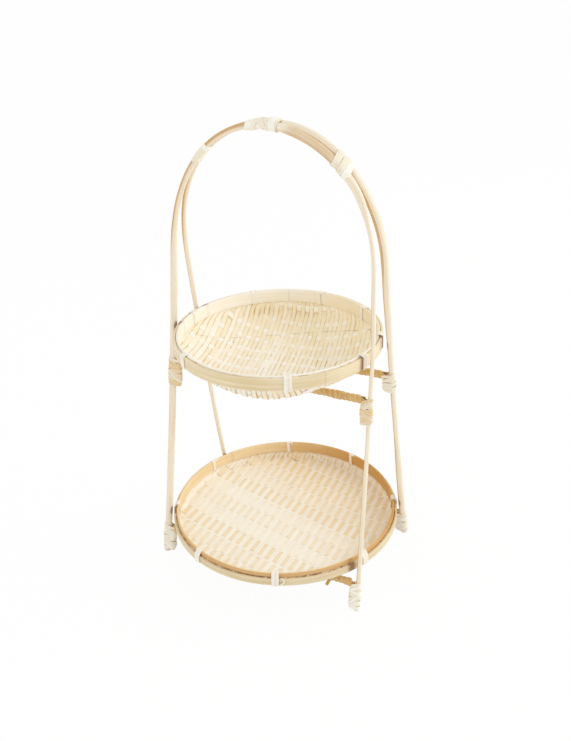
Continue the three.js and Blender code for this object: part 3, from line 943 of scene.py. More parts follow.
def splint_finish(name, tones, look, crease, edge_height, stain, burn):
    """Splints: each with its own tone, golden painted shade towards the back, long edges darkened by their
    own tan and by painted shade between them, and burnt cut edges.
    """
    pale, tan, edge, golden = tones
    spread, few, edges, back_shade = look
    finish = Finish(name)
    strip, along = finish.uv()
    across, back, height = finish.split(finish.place())
    share = strip.part("FRACT")
    number = strip.part("FLOOR")
    fibres = finish.noise(finish.vector(share * 14, along * 45, number * 2.9), 1.4, 4.0, 0.6)
    drift = finish.noise(finish.vector(along * 11, number * 7.1, 1.0), 1.0)
    if spread:
        tone = finish.step(finish.draw(number + 0.5) * spread + drift * (1.1 - spread), few, few + 0.5)
    else:
        tone = finish.attribute("tan") * (0.5 + drift)
    base = finish.mix(tone, pale, tan)
    # Painted shade towards the back and right, where the rim shades the mat
    base = finish.mix(finish.step(back + across * 0.5, -0.03, 0.1) * back_shade, base, golden)
    base = finish.shade(finish.step(fibres, 0.42, 0.8), 0.08, base)
    # Long edges: their own tan, and painted shade between the splints and where the scallops stand out
    rim = finish.step((share - 0.5).part("ABSOLUTE"), 0.31, 0.45)
    patchy = finish.step(finish.noise(finish.vector(along * 40, number * 3.3, 5.0), 1.0), 0.35, 0.65)
    base = finish.mix(rim * (patchy * edges + finish.attribute("wall") * 0.55), base, edge)
    if crease:
        offset, slope, bend = crease
        gap = (back - across * slope - across * across * bend - offset).part("ABSOLUTE")
        base = finish.mix((1 - finish.step(gap, 0.2 * MM, 0.8 * MM)) * patchy * 0.6, base, stain)
    specks = finish.noise(finish.vector(along * 230, share * 3, number * 1.7), 1.0, 1.0)
    base = finish.mix(finish.step(specks, 0.76, 0.84) * 0.5, base, stain)
    burnt = finish.noise(finish.place(), 130.0, 3.0)
    high = finish.step(height, edge_height - 6 * MM, edge_height)
    base = finish.mix(high * finish.step(burnt, 0.4, 0.6), base, burn)
    return finish.build(base, 0.48 + fibres * 0.2, fibres, 0.4, 0.2)


# Trays


# The steep wall of each mat close under its rim: how deep it is where it is full and where it is slight,
# and how far it leans in
WALLS = {"upper": (12.5 * MM, 3.5 * MM), "lower": (6 * MM, 6 * MM)}
WALL_RUN = 3.6 * MM
# How steeply a dish rises from its flat floor to the wall
DISH_POWER = 2
# The directions in which a wall is full, with how wide each stretch is
FULL_WALLS = ((math.radians(-69), math.radians(28)), (math.radians(112), math.radians(48)))
# Distance between the points of a mat's profile, and over how many of them its corners are rounded
PROFILE_STEP = 0.25 * MM
PROFILE_BLUR = 4
DISH_POINTS = 24
# How much less the weave rises at the top of the wall, and how far below it that starts
CALM_SHARE = 0.85
CALM_RUN = 4 * MM


def smooth_line(points):
    """Distances along a line through points, with its corners rounded, and the points there."""
    marks = distances(points)
    even = np.linspace(0, marks[-1], round(marks[-1] / PROFILE_STEP) + 1)
    reach = 3 * PROFILE_BLUR
    weights = np.exp(-0.5 * (np.arange(-reach, reach + 1) / PROFILE_BLUR) ** 2)
    weights /= weights.sum()
    found = []
    for k in range(2):
        values = np.interp(even, marks, points[:, k])
        before = 2 * values[0] - values[reach:0:-1]
        after = 2 * values[-1] - values[-2 : -reach - 2 : -1]
        found.append(np.convolve(np.concatenate((before, values, after)), weights, "valid"))
    found = np.stack(found, axis=-1)
    return distances(found), *found.T


def least_radius(node):
    """How near the tray's axis a ring of the frame reaches."""
    return min(math.hypot(v.co.x, v.co.y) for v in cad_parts[node].data.vertices)


class Tray:
    """Levels and radii of one tray, read from its nodes, and the bowl that its splints follow."""

    def __init__(self, tier, full_wall, slight_wall):
        low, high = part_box(f"{tier}_outer_band")
        self.radius = high.x
        self.rim_bottom = low.z
        self.rim_top = high.z
        self.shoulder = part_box(f"{tier}_inner_band")[1].x
        self.inside = least_radius(f"{tier}_inner_band")
        self.slot = least_radius(f"{tier}_outer_band") - self.shoulder
        self.foot = self.shoulder - WALL_RUN
        places = [(math.hypot(v.co.x, v.co.y), v.co.z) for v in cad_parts[f"{tier}_mat"].data.vertices]
        floor = min(z for _, z in places)
        close = 0.005 * MM
        flat = max(r for r, z in places if z - floor < close)
        thickness = min(z for r, z in places if r < close and z - floor > close) - floor
        shelf = min(z for r, z in places if abs(r - self.shoulder) < 10 * close)
        self.full = self.profile(full_wall, floor, flat, shelf, thickness)
        self.slight = self.profile(slight_wall, floor, flat, shelf, thickness)
        reach, radii, _, _ = self.full
        self.reach = reach[-1]
        self.wall_foot = np.interp(self.foot, radii, reach)
        self.wall_top = np.interp(self.shoulder - thickness / 2, radii, reach)

    def profile(self, wall, floor, flat, shelf, thickness):
        """Reach along the middle of a mat from its centre, with the radius, height and lean there."""
        # A flat floor, a dish, a steep wall, and up the slot between the bands
        middle = floor + thickness / 2
        dip = shelf - floor - wall
        dish_width = self.foot - flat
        steep = math.atan2(wall, WALL_RUN)
        inward = thickness / 2 * math.sin(steep)
        upward = thickness / 2 * math.cos(steep)
        line = [(0.0, middle)]
        for share in np.linspace(0, 1 - 1.5 * inward / dish_width, DISH_POINTS):
            line.append((flat + dish_width * share, middle + dip * share**DISH_POWER))
        line.append((self.shoulder - inward, shelf + upward))
        line.append((self.shoulder + 0.1 * self.slot, shelf + 0.5 * thickness))
        line.append((self.shoulder + 0.5 * self.slot, shelf + 1.3 * thickness))
        line.append((self.shoulder + 0.5 * self.slot, self.rim_top))
        along, radii, heights = smooth_line(np.array(line))
        # The reach is measured level as far as the foot of the wall, so splints look straight from above
        foot = np.argmax(radii > self.foot)
        reach = np.where(np.arange(len(along)) < foot, radii, radii[foot] + along - along[foot])
        return reach, radii, heights, np.arctan2(np.gradient(heights), np.gradient(radii))

    def fullness(self, x, y):
        """How full the wall is in the direction of each place."""
        share = np.zeros(np.shape(x))
        for direction, width in FULL_WALLS:
            turn = np.angle(np.exp(1j * (np.arctan2(y, x) - direction)))
            share = np.maximum(share, np.exp(-((turn / width) ** 2)))
        return share

    def lay(self, x, y, lift):
        """Points on the mat over flat places, lifted square to it."""
        reach = np.maximum(np.hypot(x, y), 1e-9)
        share = self.fullness(x, y)
        wall_share = (self.slight[0][-1] - self.foot) / (self.reach - self.foot)
        slight_reach = reach + np.maximum(reach - self.foot, 0) * (wall_share - 1)
        radius, height, lean = (
            share * np.interp(reach, self.full[0], self.full[k])
            + (1 - share) * np.interp(slight_reach, self.slight[0], self.slight[k])
            for k in (1, 2, 3)
        )
        lift = lift * (1 - CALM_SHARE * np.clip((reach - self.wall_top) / CALM_RUN + 1, 0, 1))
        scale = (radius - np.sin(lean) * lift) / reach
        return np.stack((x * scale, y * scale, height + np.cos(lean) * lift), axis=-1)


TRAYS = {tier: Tray(tier, *walls) for tier, walls in WALLS.items()}


# How flat the narrow splints lie over and under broad ones
FLAT_WEAVE = 3.2


def weave_wave(wave, wefts, close_warps):
    """How a splint rises and dips: over broad cross splints it lies flat, over narrow ones it only bumps."""
    if not wefts:
        return -wave
    return np.tanh(FLAT_WEAVE * wave) if close_warps else wave**3


# How tan the cross splints of the lower mat are, counted from the middle to the back, and how tan all others
TAN_WARPS = {-4: 0.6, -3: 1.0, -2: 0.2, -1: 0.6, 0: 0.15, 1: 1.0, 2: 0.3, 3: 0.45, 4: 1.0}
OTHER_TAN = 0.75
# How far splints lie off their pitch, as a share of it, how far they sway, and the least and most radians
# of that to the metre
UNEVEN_LAY = 0.04
SWAY = 0.3 * MM
SWAY_WAVES = (12, 20)
# How far a splint bulges across its width, and how far it stays short of its room at each end
SPLINT_CROWN = 0.12 * MM
SPLINT_SPARE = 0.5 * MM
# The outermost splint is at least this far inside the top of the wall
OUTERMOST = 1.5 * MM
# How far the scallops spread round the foot of the wall, and the share by which each second splint stands in
SCALLOP_SPREAD = 5 * MM
SCALLOP_IN = 0.6
# Added to the numbers of the splints, so that none is below 0
FIRST_MARK = 100


def mat_axes(sizes, index, kind):
    """Directions along and across the splints of one kind."""
    lean = getattr(sizes, f"{kind}_lean")[index]
    span = np.array((math.cos(lean), math.sin(lean)))
    depth = np.array((-math.sin(lean), math.cos(lean)))
    return (depth, span) if kind == "weft" else (span, depth)


def splints(tier, sizes, index, kind, seed, edge):
    """All splints of one direction of a mat, as one piece."""
    tray = TRAYS[tier]
    draw = random.Random(seed)
    wefts = kind == "weft"
    other = "warp" if wefts else "weft"
    pitch, width, lift = (getattr(sizes, f"{kind}_{key}")[index] for key in ("pitch", "width", "lift"))
    other_pitch = getattr(sizes, f"{other}_pitch")[index]
    axis, side = mat_axes(sizes, index, kind)
    _, other_side = mat_axes(sizes, index, other)
    # Broad cross splints lie close together, narrow ones far apart
    close_warps = sizes.warp_width[index] > sizes.warp_pitch[index] / 2
    reach_limit = tray.reach - (tray.rim_top - edge)
    last = math.ceil(tray.wall_top / pitch + 0.5)
    step = other_pitch / (10 if wefts else 4)
    parts = (2 if wefts else 8) if close_warps else 3
    shares = np.linspace(-1, 1, parts + 1)
    crown = SPLINT_CROWN * (1 - shares**2)
    pieces = []
    for number in range(-last, last + 1):
        offset = number * pitch + draw.uniform(-UNEVEN_LAY, UNEVEN_LAY) * pitch
        inner_edge = max(0.0, abs(offset) - width / 2)
        if inner_edge > tray.wall_top - OUTERMOST:
            continue
        longest = reach_limit - draw.random() * sizes.ragged
        half = math.sqrt(longest**2 - inner_edge**2) - SPLINT_SPARE
        t = np.linspace(-half, half, 2 * math.ceil(half / step) + 1)
        sway = draw.uniform(-SWAY, SWAY) * np.sin(t * draw.uniform(*SWAY_WAVES) + draw.random() * 6)
        room = np.sqrt(longest**2 - t**2)[:, None]
        across = np.clip(offset + sway[:, None] + shares[None] * width / 2, -room, room)
        x = axis[0] * t[:, None] + side[0] * across
        y = axis[1] * t[:, None] + side[1] * across
        centre_x = axis[0] * t + side[0] * offset
        centre_y = axis[1] * t + side[1] * offset
        phase = (centre_x * other_side[0] + centre_y * other_side[1]) / other_pitch
        if close_warps:
            # Over two and under two, one splint further from row to row
            wave = math.sqrt(2) * np.cos(math.pi / 2 * (phase + number - 0.5))
        else:
            wave = np.cos(math.pi * (phase - number))
        from_foot = np.hypot(centre_x, centre_y) - tray.wall_foot
        bulge = np.exp(-((from_foot / SCALLOP_SPREAD) ** 2)) * tray.fullness(centre_x, centre_y)
        rise = lift * weave_wave(wave, wefts, close_warps)
        rise = rise + sizes.scallop * bulge * (1 if number % 2 else -SCALLOP_IN)
        rows = tray.lay(x, y, rise[:, None] + crown[None])
        strip = grid_piece(f"splint_{number}", rows, strip_marks(number + FIRST_MARK, parts), t + half)
        # Where the scallops stand out, which darkens their edges with painted shade
        mark(strip, "wall", np.repeat(bulge[:, None], parts + 1, axis=1))
        mark(strip, "tan", np.full(rows.shape[:2], TAN_WARPS.get(number, OTHER_TAN)))
        pieces.append(strip)
    piece = joined(f"{tier}_{kind}s", pieces)
    thicken(piece, sizes.thickness, 0.0)
    return piece


# A band's lap: how far its cut edge slants and how long it thins out before that, in radians
LAP_SLANT = 0.09
LAP_RUN = 1.4


def band_piece(name, tray, face, top, sizes, lap_angle, lap_inside, seed):
    """A split-bamboo band: a ring of rounded section whose end laps over its start."""
    draw = random.Random(seed)
    outer_face = face + sizes.thickness if lap_inside else face
    inner_face = outer_face - sizes.thickness
    bottom = tray.rim_bottom
    round_size = sizes.rounding
    profile = []
    corners = (
        (outer_face - round_size, bottom + round_size, -90),
        (outer_face - round_size, top - round_size, 0),
        (inner_face + round_size, top - round_size, 90),
        (inner_face + round_size, bottom + round_size, 180),
    )
    for radius, height, start in corners:
        for k in range(4):
            angle = math.radians(start + 30 * k)
            profile.append((radius + round_size * math.cos(angle), height + round_size * math.sin(angle)))
    profile.append(profile[0])
    profile = np.array(profile)
    turns = np.linspace(0, 2 * math.pi, sizes.steps + 1)
    waves = [(draw.randint(2, 9), draw.random() * 6.28, draw.random()) for _ in range(5)]
    ripple = sum(a * np.sin(n * turns + p) for n, p, a in waves) * sizes.ripple / 2.5
    upper_half = profile[:, 1] > (bottom + top) / 2
    heights = profile[None, :, 1] + np.where(upper_half, -1, 1)[None] * (sizes.ripple + ripple[:, None]) * 0.5
    # The lap edge is cut aslant, so its angle changes with height
    slant = (profile[:, 1] - bottom) / (top - bottom) - 0.5
    from_lap = np.mod(turns[:, None] - math.radians(lap_angle) - LAP_SLANT * slant[None], 2 * math.pi)
    ramp = np.clip((from_lap - 2 * math.pi + LAP_RUN) / LAP_RUN, 0, 1)
    inward = 1 if lap_inside else -1
    on_face = (profile[:, 0] - (outer_face + inner_face) / 2) * inward < 0
    radii = profile[None, :, 0] + np.where(on_face[None], ramp * sizes.lap * inward, 0)
    rows = np.stack((radii * np.cos(turns)[:, None], radii * np.sin(turns)[:, None], heights), axis=-1)
    rows[-1] = rows[0]
    rows[:, -1] = rows[:, 0]
    marks = np.linspace(0, 1, len(profile))
    piece = grid_piece(name, rows, marks, turns * outer_face)
    weld(piece)
    return piece


def rim_axes(angle):
    """Directions out from a tray's axis at an angle, and along its rim there."""
    radial = np.array((math.cos(angle), math.sin(angle), 0))
    return radial, np.array((-radial[1], radial[0], 0))


# A strand of a rim binding: how far it stands off, the radius of its bends and the points of each,
# the point of a turn at which it is under the rim, and the points that the last turn is short of
BINDING_STAND = 0.25 * MM
BINDING_BEND = 1.6 * MM
BEND_POINTS = 5
UNDER_RIM = 17
TURN_SHORT = 7


def binding_path(tray, angle, turns, pitch, lift, rims, step):
    """Centres and outward directions of a strand bound over a rim, down the step between its bands."""
    stand = BINDING_STAND + lift
    inside = tray.inside - stand
    outside = tray.radius + stand
    bottom = tray.rim_bottom - stand
    top = tray.rim_top + stand
    bend = BINDING_BEND
    shelf = tray.inside + rims.thickness + stand
    fall = math.degrees(math.atan2(outside - shelf, step))
    corners = (
        (inside + bend, top - bend, 180, 90),
        (shelf - bend, top - bend, 90, fall),
        (outside - bend, top - step - bend, fall, 0),
        (outside - bend, bottom + bend, 0, -90),
        (inside + bend, bottom + bend, -90, -180),
    )
    section = []
    for radius, height, start, end in corners:
        for bearing in np.linspace(start, end, BEND_POINTS):
            corner = math.radians(bearing)
            out = np.array((math.cos(corner), math.sin(corner)))
            section.append((np.array((radius, height)) + bend * out, out))
    places = np.array([p for p, _ in section])
    outs = np.array([o for _, o in section])
    count = len(section)
    radial, tangent = rim_axes(angle)
    centres = []
    outward = []
    for turn in range(turns):
        for k in range(count):
            # The strand crosses to its next turn under the rim
            over = max(0, (k - UNDER_RIM) / (count - UNDER_RIM))
            slip = (turn + over - (turns - 1) / 2) * pitch
            centres.append(radial * places[k, 0] + UP * places[k, 1] + tangent * slip)
            outward.append(radial * outs[k, 0] + UP * outs[k, 1])
    keep = count * turns - TURN_SHORT
    return np.array(centres[:keep]), np.array(outward[:keep])


# Operators


class RackOperator:
    """What the operators share."""

    bl_options = {"REGISTER", "UNDO"}

    def execute(self, context):
        self.make(context.scene.rack)
        return {"FINISHED"}


class RACK_OT_hoops(RackOperator, bpy.types.Operator):
    """Models the two bent cane hoops"""

    bl_idname = "rack.make_hoops"
    bl_label = "Hoops"

    def make(self, rack):
        colours = rack.finishes
        tones = (colours.cane, colours.cane_shade, colours.cane_skin_and_shade, colours.cut_end)
        finish = cane_finish("peeled_cane", tones, rack.canes.node_spacing)
        for half in HALVES:
            piece = cane(f"{half}_cane_hoop", HOOPS[half], rack.canes, True, half)
            settle(piece, "stand", "cane", finish, f"{half}_hoop")


# A short peg caught in the wrap of the lower front bar: its share of the way along the bar, its radius,
# and its route in millimetres
PEG_PLACE = 0.815
PEG_RADIUS = 2.1 * MM
PEG_ROUTE = ((0, 0, 0), (-2.6, -2.6, -5.5), (-5.2, -5, -11.5))


class RACK_OT_bars(RackOperator, bpy.types.Operator):
    """Models the four cross bars with their bent ends"""

    bl_idname = "rack.make_bars"
    bl_label = "Cross Bars"

    def make(self, rack):
        colours = rack.finishes
        tones = (colours.bar_cane, colours.golden_peel, colours.cane_skin_and_shade, colours.cut_end)
        finish = cane_finish("bar_cane", tones, rack.canes.node_spacing)
        for (tier, half), path in BARS.items():
            piece = cane(f"{tier}_{half}_rod", path, rack.canes, False)
            settle(piece, "stand", "bar_cane", finish, f"{tier}_{half}_bar")
        path = BARS["lower", "front"]
        start = path.at(np.array([path.length * PEG_PLACE]))[0]
        points = [start + np.array(place) * MM for place in PEG_ROUTE]
        peg = cane("lower_front_peg", Path(points, [PEG_RADIUS] * len(points)), rack.canes, False)
        tones = (colours.cane_skin_and_shade, colours.golden_peel, colours.cut_end, colours.cut_end)
        brown = cane_finish("peg_cane", tones, rack.canes.node_spacing)
        settle(peg, "stand", "bar_cane", brown)


# The wrap of a bar: points of a turn, how far below its highest point the bar counts as level,
# how loose the wrap is, and the waves in which it swells: height, radians to the turn and start
WRAP_POINTS = 20
WRAP_LEVEL = 0.3 * MM
WRAP_SLACK = 0.45 * MM
WRAP_WAVES = ((0.25 * MM, 1.7, 0), (0.2 * MM, 0.9, 2))


class RACK_OT_bar_wraps(RackOperator, bpy.types.Operator):
    """Winds golden peel along each cross bar"""

    bl_idname = "rack.make_bar_wraps"
    bl_label = "Bar Wraps"

    def make(self, rack):
        colours = rack.finishes
        sizes = rack.peels
        tones = (colours.golden_peel, colours.bar_cane)
        finish = peel_finish("golden_peel", tones, colours.golden_edge, 0.13, 0.3, 0.1)
        for (tier, half), path in BARS.items():
            node = f"{tier}_{half}_bar_wrap"
            _, points = path.sampled(count=3000)
            level = points[points[:, 2] > points[:, 2].max() - WRAP_LEVEL]
            first = level[0, 0] - sizes.wrap_end
            last = level[-1, 0] + sizes.wrap_end
            turns = (last - first) / sizes.wrap_pitch
            t = np.linspace(0, 1, round(turns * WRAP_POINTS))
            reach = first + (last - first) * t
            centres = np.stack([np.interp(reach, points[:, 0], points[:, k]) for k in range(3)], axis=-1)
            swell = sum(high * np.sin(t * turns * rate + start) for high, rate, start in WRAP_WAVES)
            radius = (path.radii.mean() + sizes.thickness + WRAP_SLACK + swell)[:, None]
            turn = 2 * math.pi * turns * t
            outward = np.stack((np.zeros(len(t)), np.cos(turn), np.sin(turn)), axis=-1)
            width = sizes.wrap_pitch - sizes.wrap_gap
            piece = peel(0, centres + outward * radius, outward, width, sizes, sizes.wrap_crown)
            piece = joined(f"{node}_peel", [piece])
            settle(piece, "stand", "golden_peel", finish, node)


# The ties at the bars: how far the peel sinks in, how far a tie bulges at its middle and is uneven,
# the share of a turn's width from one to the next, and the least and most that a turn tilts
TIE_SINK = 0.25 * MM
TIE_BULGE = 0.7 * MM
TIE_UNEVEN = 0.45 * MM
TIE_PITCH = 0.94
TIE_TILTS = (0.3 * MM, 1.1 * MM)
# Slanting turns at the upper end of a tie: how far above it, how far out, the share of a width and the tilt
TIE_TOP = ((1.5 * MM, 0.2 * MM, 0.95, 3.6 * MM), (5.5 * MM, -0.2 * MM, 0.9, 2.4 * MM))
# The turns of each collar over a bar, and how far it stands off in millimetres
COLLARS = ((1.12, 0), (1.06, 0.5))


class RACK_OT_joint_lashings(RackOperator, bpy.types.Operator):
    """Ties each bent bar end to its leg"""

    bl_idname = "rack.make_joint_lashings"
    bl_label = "Joint Lashings"

    def make(self, rack):
        colours = rack.finishes
        sizes = rack.peels
        tones = (colours.joint_peel, colours.joint_streak)
        golden = peel_finish("joint_peel", tones, colours.cream_peel, 0.16, 0.25, 0.3)
        tones = (colours.cream_peel, colours.joint_peel)
        cream = peel_finish("pale_joint_peel", tones, colours.joint_streak, 0.1, 0.14, 0.4)
        seed = 20
        for tier in TIERS:
            for half in HALVES:
                for side in SIDES:
                    finish = golden if (tier, half) == ("upper", "front") else cream
                    seed += 1
                    self.tie(tier, half, side, sizes, finish, random.Random(seed))

    def tie(self, tier, half, side, sizes, finish, draw):
        """One lashing: close turns round leg and rod, turns that cross them and a collar over the bar."""
        core, half_length, leg = joint_core(half, tier, side)
        lift = sizes.thickness - TIE_SINK
        over = lift + sizes.thickness * 0.8
        width = sizes.lashing_width
        end = half_length - width / 2
        count = round(2 * end / (width * TIE_PITCH)) + 1
        number = draw.randint(0, 40)
        rings = []
        for place in np.linspace(-end, end, count):
            swell = TIE_BULGE * (1 - (place / end) ** 2) + draw.uniform(0, TIE_UNEVEN)
            tilt = draw.uniform(*TIE_TILTS)
            rings.append((place, lift + swell, width, tilt, draw.choice((ROD_HIGH, LEG_HIGH))))
        # One turn slants across them, and two more slant at their upper end
        highest = draw.choice((ROD_HIGH, LEG_HIGH))
        rings.append((-0.1 * end, over + 0.8 * MM, width * 0.8, end * 0.55, highest))
        for above, out, broad, tilt in TIE_TOP:
            rings.append((end + above, over + out, width * broad, tilt, LEG_HIGH))
        pieces = ring_peels(core, rings, sizes, sizes.ring_crown, number)
        number += len(rings)
        path = BARS[tier, half]
        bar_height = path.at(np.array([path.length / 2]))[0, 2]
        for turns, stand in COLLARS:
            number += 1
            centres, outward = collar(leg, SIDES[side], bar_height - 2 * stand * MM, lift + stand * MM, turns)
            pieces.append(peel(number, centres, outward, width * (1.05 - 0.2 * stand), sizes))
        node = f"{tier}_{half}_{side}_lashing"
        settle(joined(f"{node}_peel", pieces), "stand", "cream_peel", finish, node)


# How far the right shoulder tie sits towards the crown from the middle of its solid
SHOULDER_RAISE = 1.5 * MM


class RACK_OT_arch_lashings(RackOperator, bpy.types.Operator):
    """Ties the two hoops together at the crown and the shoulders"""

    bl_idname = "rack.make_arch_lashings"
    bl_label = "Arch Lashings"

    def make(self, rack):
        colours = rack.finishes
        sizes = rack.peels
        tones = (colours.cream_peel, colours.pale_tie)
        finish = peel_finish("cream_peel", tones, colours.cream_peel, 0.1, 0.04, 0.5)
        for node in ("left_shoulder_lashing", "right_shoulder_lashing", "crown_lashing"):
            core, half_length = arch_core(node)
            if node == "crown_lashing":
                rings = self.crown(half_length, sizes)
            elif node == "right_shoulder_lashing":
                rings = self.right_shoulder(sizes)
            else:
                rings = self.left_shoulder(half_length, sizes)
            pieces = ring_peels(core, rings, sizes, sizes.shoulder_crown)
            settle(joined(f"{node}_peel", pieces), "stand", "cream_peel", finish, node)

    def right_shoulder(self, sizes):
        """Rings of the right shoulder: broad turns with a narrow slit below the uppermost."""
        width = sizes.shoulder_width
        lift = sizes.thickness + 0.1 * MM
        rings = [(-width - sizes.shoulder_slit, lift + 0.2 * MM, width, 0.3 * MM, 0.1)]
        for number, place in enumerate((0.0, 0.4, 0.82)):
            rings.append((width * place, lift + 0.08 * MM * number, width, 0.3 * MM, 0.1))
        return [(place - SHOULDER_RAISE, *rest) for place, *rest in rings]

    def left_shoulder(self, half_length, sizes):
        """Rings of the left shoulder: close, thin turns."""
        width = sizes.lashing_width * 1.3
        end = half_length * 0.8 - width / 2
        lift = sizes.thickness - 0.2 * MM
        return [(place, lift, width, 0.7 * MM, 0.9) for place in np.linspace(-end, end, 4)]

    def crown(self, half_length, sizes):
        """Rings of the crown: a close wrap under slanted turns at the left and broad ones at the right."""
        width = sizes.lashing_width
        lift = sizes.thickness + 0.4 * MM
        over = lift + sizes.thickness
        end = half_length - width * 0.55
        rings = [(place, lift, width * 1.2, 0.0, 0.0) for place in np.linspace(-end, end, 8)]
        slant = half_length * 0.3
        for place, rise, broad, tilt in (
            (-0.92, 0.0, 1.3, -0.7),
            (-0.5, 0.5, 1.2, -1.0),
            (0.1, 0.4, 1.3, 1.0),
            (0.6, 0.0, 1.4, 0.3),
            (0.85, 0.5, 1.5, 0.3),
        ):
            rings.append((end * place, over + rise * MM, width * broad, slant * tilt, 0.9))
        return rings


# How far round the rim from a leg its painted shadow is
CONTACT_SHADE_TURN = math.radians(3.2)


class RACK_OT_rims(RackOperator, bpy.types.Operator):
    """Models the inner and outer bands of both trays"""

    bl_idname = "rack.make_rims"
    bl_label = "Rims"

    def make(self, rack):
        colours = rack.finishes
        # The bearing of each band's lap, and its tones
        bands = {
            ("upper", "outer"): (300, (colours.upper_outer, colours.upper_outer_dark, None)),
            ("upper", "inner"): (118, (colours.upper_band, colours.upper_band_dark, colours.upper_band_shade)),
            ("lower", "outer"): (296, (colours.lower_outer, colours.lower_outer_dark, None)),
            ("lower", "inner"): (141, (colours.lower_band, colours.lower_band_dark, colours.lower_band_gold_and_shade)),
        }
        for seed, ((tier, ring), (lap, tones)) in enumerate(bands.items()):
            tray = TRAYS[tier]
            contact_shades = [self.rub(tray, half, side) for half in HALVES for side in SIDES]
            name = f"{tier}_{ring}"
            golden_from = tray.inside + 0.5 * rack.rims.thickness if name == "lower_inner" else None
            finish = band_finish(f"{name}_bamboo", tones, colours.splint_dark, contact_shades, golden_from)
            inside = ring == "inner"
            face = tray.inside if inside else tray.radius
            top = tray.rim_top if inside else tray.rim_top - rack.rims.outer_step[TIERS.index(tier)]
            piece = band_piece(f"{name}_rim", tray, face, top, rack.rims, lap, inside, seed)
            settle(piece, f"{tier}_tray", f"{tier}_band", finish, f"{name}_band", smooth=40)

    def rub(self, tray, half, side):
        """Where a leg's painted shadow falls on a rim: close beside it, away from the span."""
        (x, y, _), _ = Upright(HOOPS[half], SIDES[side]).at(tray.rim_top)
        angle = math.atan2(y, x) + CONTACT_SHADE_TURN * np.sign(x * y)
        return tray.radius * math.cos(angle), tray.radius * math.sin(angle)


# The crease in the upper mat: its slope at the middle of the span, and its bend to the metre
CREASE_SLOPE = 0.34
CREASE_BEND = -4.28


class RACK_OT_mats(RackOperator, bpy.types.Operator):
    """Weaves the mats of both trays"""

    bl_idname = "rack.make_mats"
    bl_label = "Woven Mats"

    def make(self, rack):
        colours = rack.finishes
        tones = {
            ("upper", "weft"): (colours.upper_weft, colours.upper_weft_tan),
            ("upper", "warp"): (colours.cream_peel, colours.upper_warp),
            ("lower", "weft"): (colours.lower_weft, colours.lower_weft_shade),
            ("lower", "warp"): (colours.lower_weft_shade, colours.lower_warp),
        }
        # How far the tone goes by splint or 0 if it is set, where tan starts, how strong edges and the
        # painted shade at the back are
        looks = {
            ("upper", "weft"): (0.5, 0.3, 0.95, 0.45),
            ("upper", "warp"): (0.4, 0.3, 0.15, 0.2),
            ("lower", "weft"): (0.4, 0.3, 0.22, 0.26),
            ("lower", "warp"): (0, 0, 0.25, 0.5),
        }
        crease = (rack.weave.crease, CREASE_SLOPE, CREASE_BEND)
        for index, tier in enumerate(TIERS):
            edge = TRAYS[tier].rim_top - rack.rims.outer_step[index] + rack.weave.edge_rise[index]
            # Golden painted shade towards the back of each mat
            golden = colours.upper_weft_back_shade if tier == "upper" else colours.lower_weft_back_shade
            for seed, kind in enumerate(("weft", "warp")):
                finish = splint_finish(
                    f"{tier}_{kind}",
                    (*tones[tier, kind], colours.splint_edge, golden),
                    looks[tier, kind],
                    crease if (tier, kind) == ("upper", "weft") else None,
                    edge,
                    colours.splint_dark,
                    colours.splint_edge if tier == "upper" else colours.splint_dark,
                )
                piece = splints(tier, rack.weave, index, kind, 3 + seed, edge)
                nodes = (f"{tier}_mat",) if kind == "weft" else ()
                settle(piece, f"{tier}_tray", f"{tier}_weave", finish, *nodes, smooth=60)


# Bindings of each rim, and the turns of each
BINDINGS = 8
BINDING_TURNS = 2
# The loose end of one binding: its route along the rim, up and outwards in millimetres, and its widths
TAIL_BINDING = "lower_binding_7"
TAIL_ROUTE = (
    (2.5, 1.5, 0.6),
    (5.5, 2.2, 1.6),
    (9.0, 5.0, 2.0),
    (11.2, 9.4, 1.8),
    (9.6, 12.4, 1.2),
    (6.8, 12.2, 0.8),
)
TAIL_WIDTHS = (2.6 * MM, 1.4 * MM)


class RACK_OT_bindings(RackOperator, bpy.types.Operator):
    """Binds the bands of each tray together with double strands of peel"""

    bl_idname = "rack.make_bindings"
    bl_label = "Rim Bindings"

    def make(self, rack):
        colours = rack.finishes
        sizes = rack.peels
        tones = (colours.cream_peel, colours.joint_peel)
        finish = peel_finish("binding_peel", tones, colours.cream_peel, 0.08, 0.14, 0.3)
        pitch = sizes.strand_width + sizes.strand_gap
        for index, tier in enumerate(TIERS):
            tray = TRAYS[tier]
            step = rack.rims.outer_step[index]
            for number in range(1, BINDINGS + 1):
                node = f"{tier}_binding_{number}"
                low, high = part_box(node)
                middle = (low + high) / 2
                angle = math.atan2(middle.y, middle.x)
                centres, outward = binding_path(
                    tray, angle, BINDING_TURNS, pitch, sizes.thickness, rack.rims, step
                )
                pieces = [peel(2 * number, centres, outward, sizes.strand_width, sizes)]
                if node == TAIL_BINDING:
                    pieces.append(self.tail(tray, angle, 2 * number + 1, sizes))
                settle(joined(f"{node}_peel", pieces), f"{tier}_tray", "cream_peel", finish, node)

    def tail(self, tray, angle, number, sizes):
        """The loose end of one binding: it curls out from under the rim and up again."""
        radial, tangent = rim_axes(angle)
        points = [
            radial * (tray.radius + out * MM) + tangent * (run * MM) + UP * (tray.rim_bottom + rise * MM)
            for run, rise, out in TAIL_ROUTE
        ]
        return loose_peel(number, points, radial, TAIL_WIDTHS, sizes)


FLOOR_RADIUS = 40
FLOOR_DROP = 0.2 * MM
# Share of the floor's white that shows whatever the light
FLOOR_GLOW = 0.95
# Each lamp's place, size, power and tint
LAMPS = {
    "key": ((2.0, 1.2, 1.25), 1.4, 22.0, (1.0, 0.97, 0.93)),
    "fill": ((-0.6, -1.6, 1.7), 2.2, 6.0, WHITE),
}
LAMP_TARGET = Vector((0, 0, 0.25))
SKY_TINT = (1.0, 0.99, 0.975)
SKY_STRENGTH = 0.8


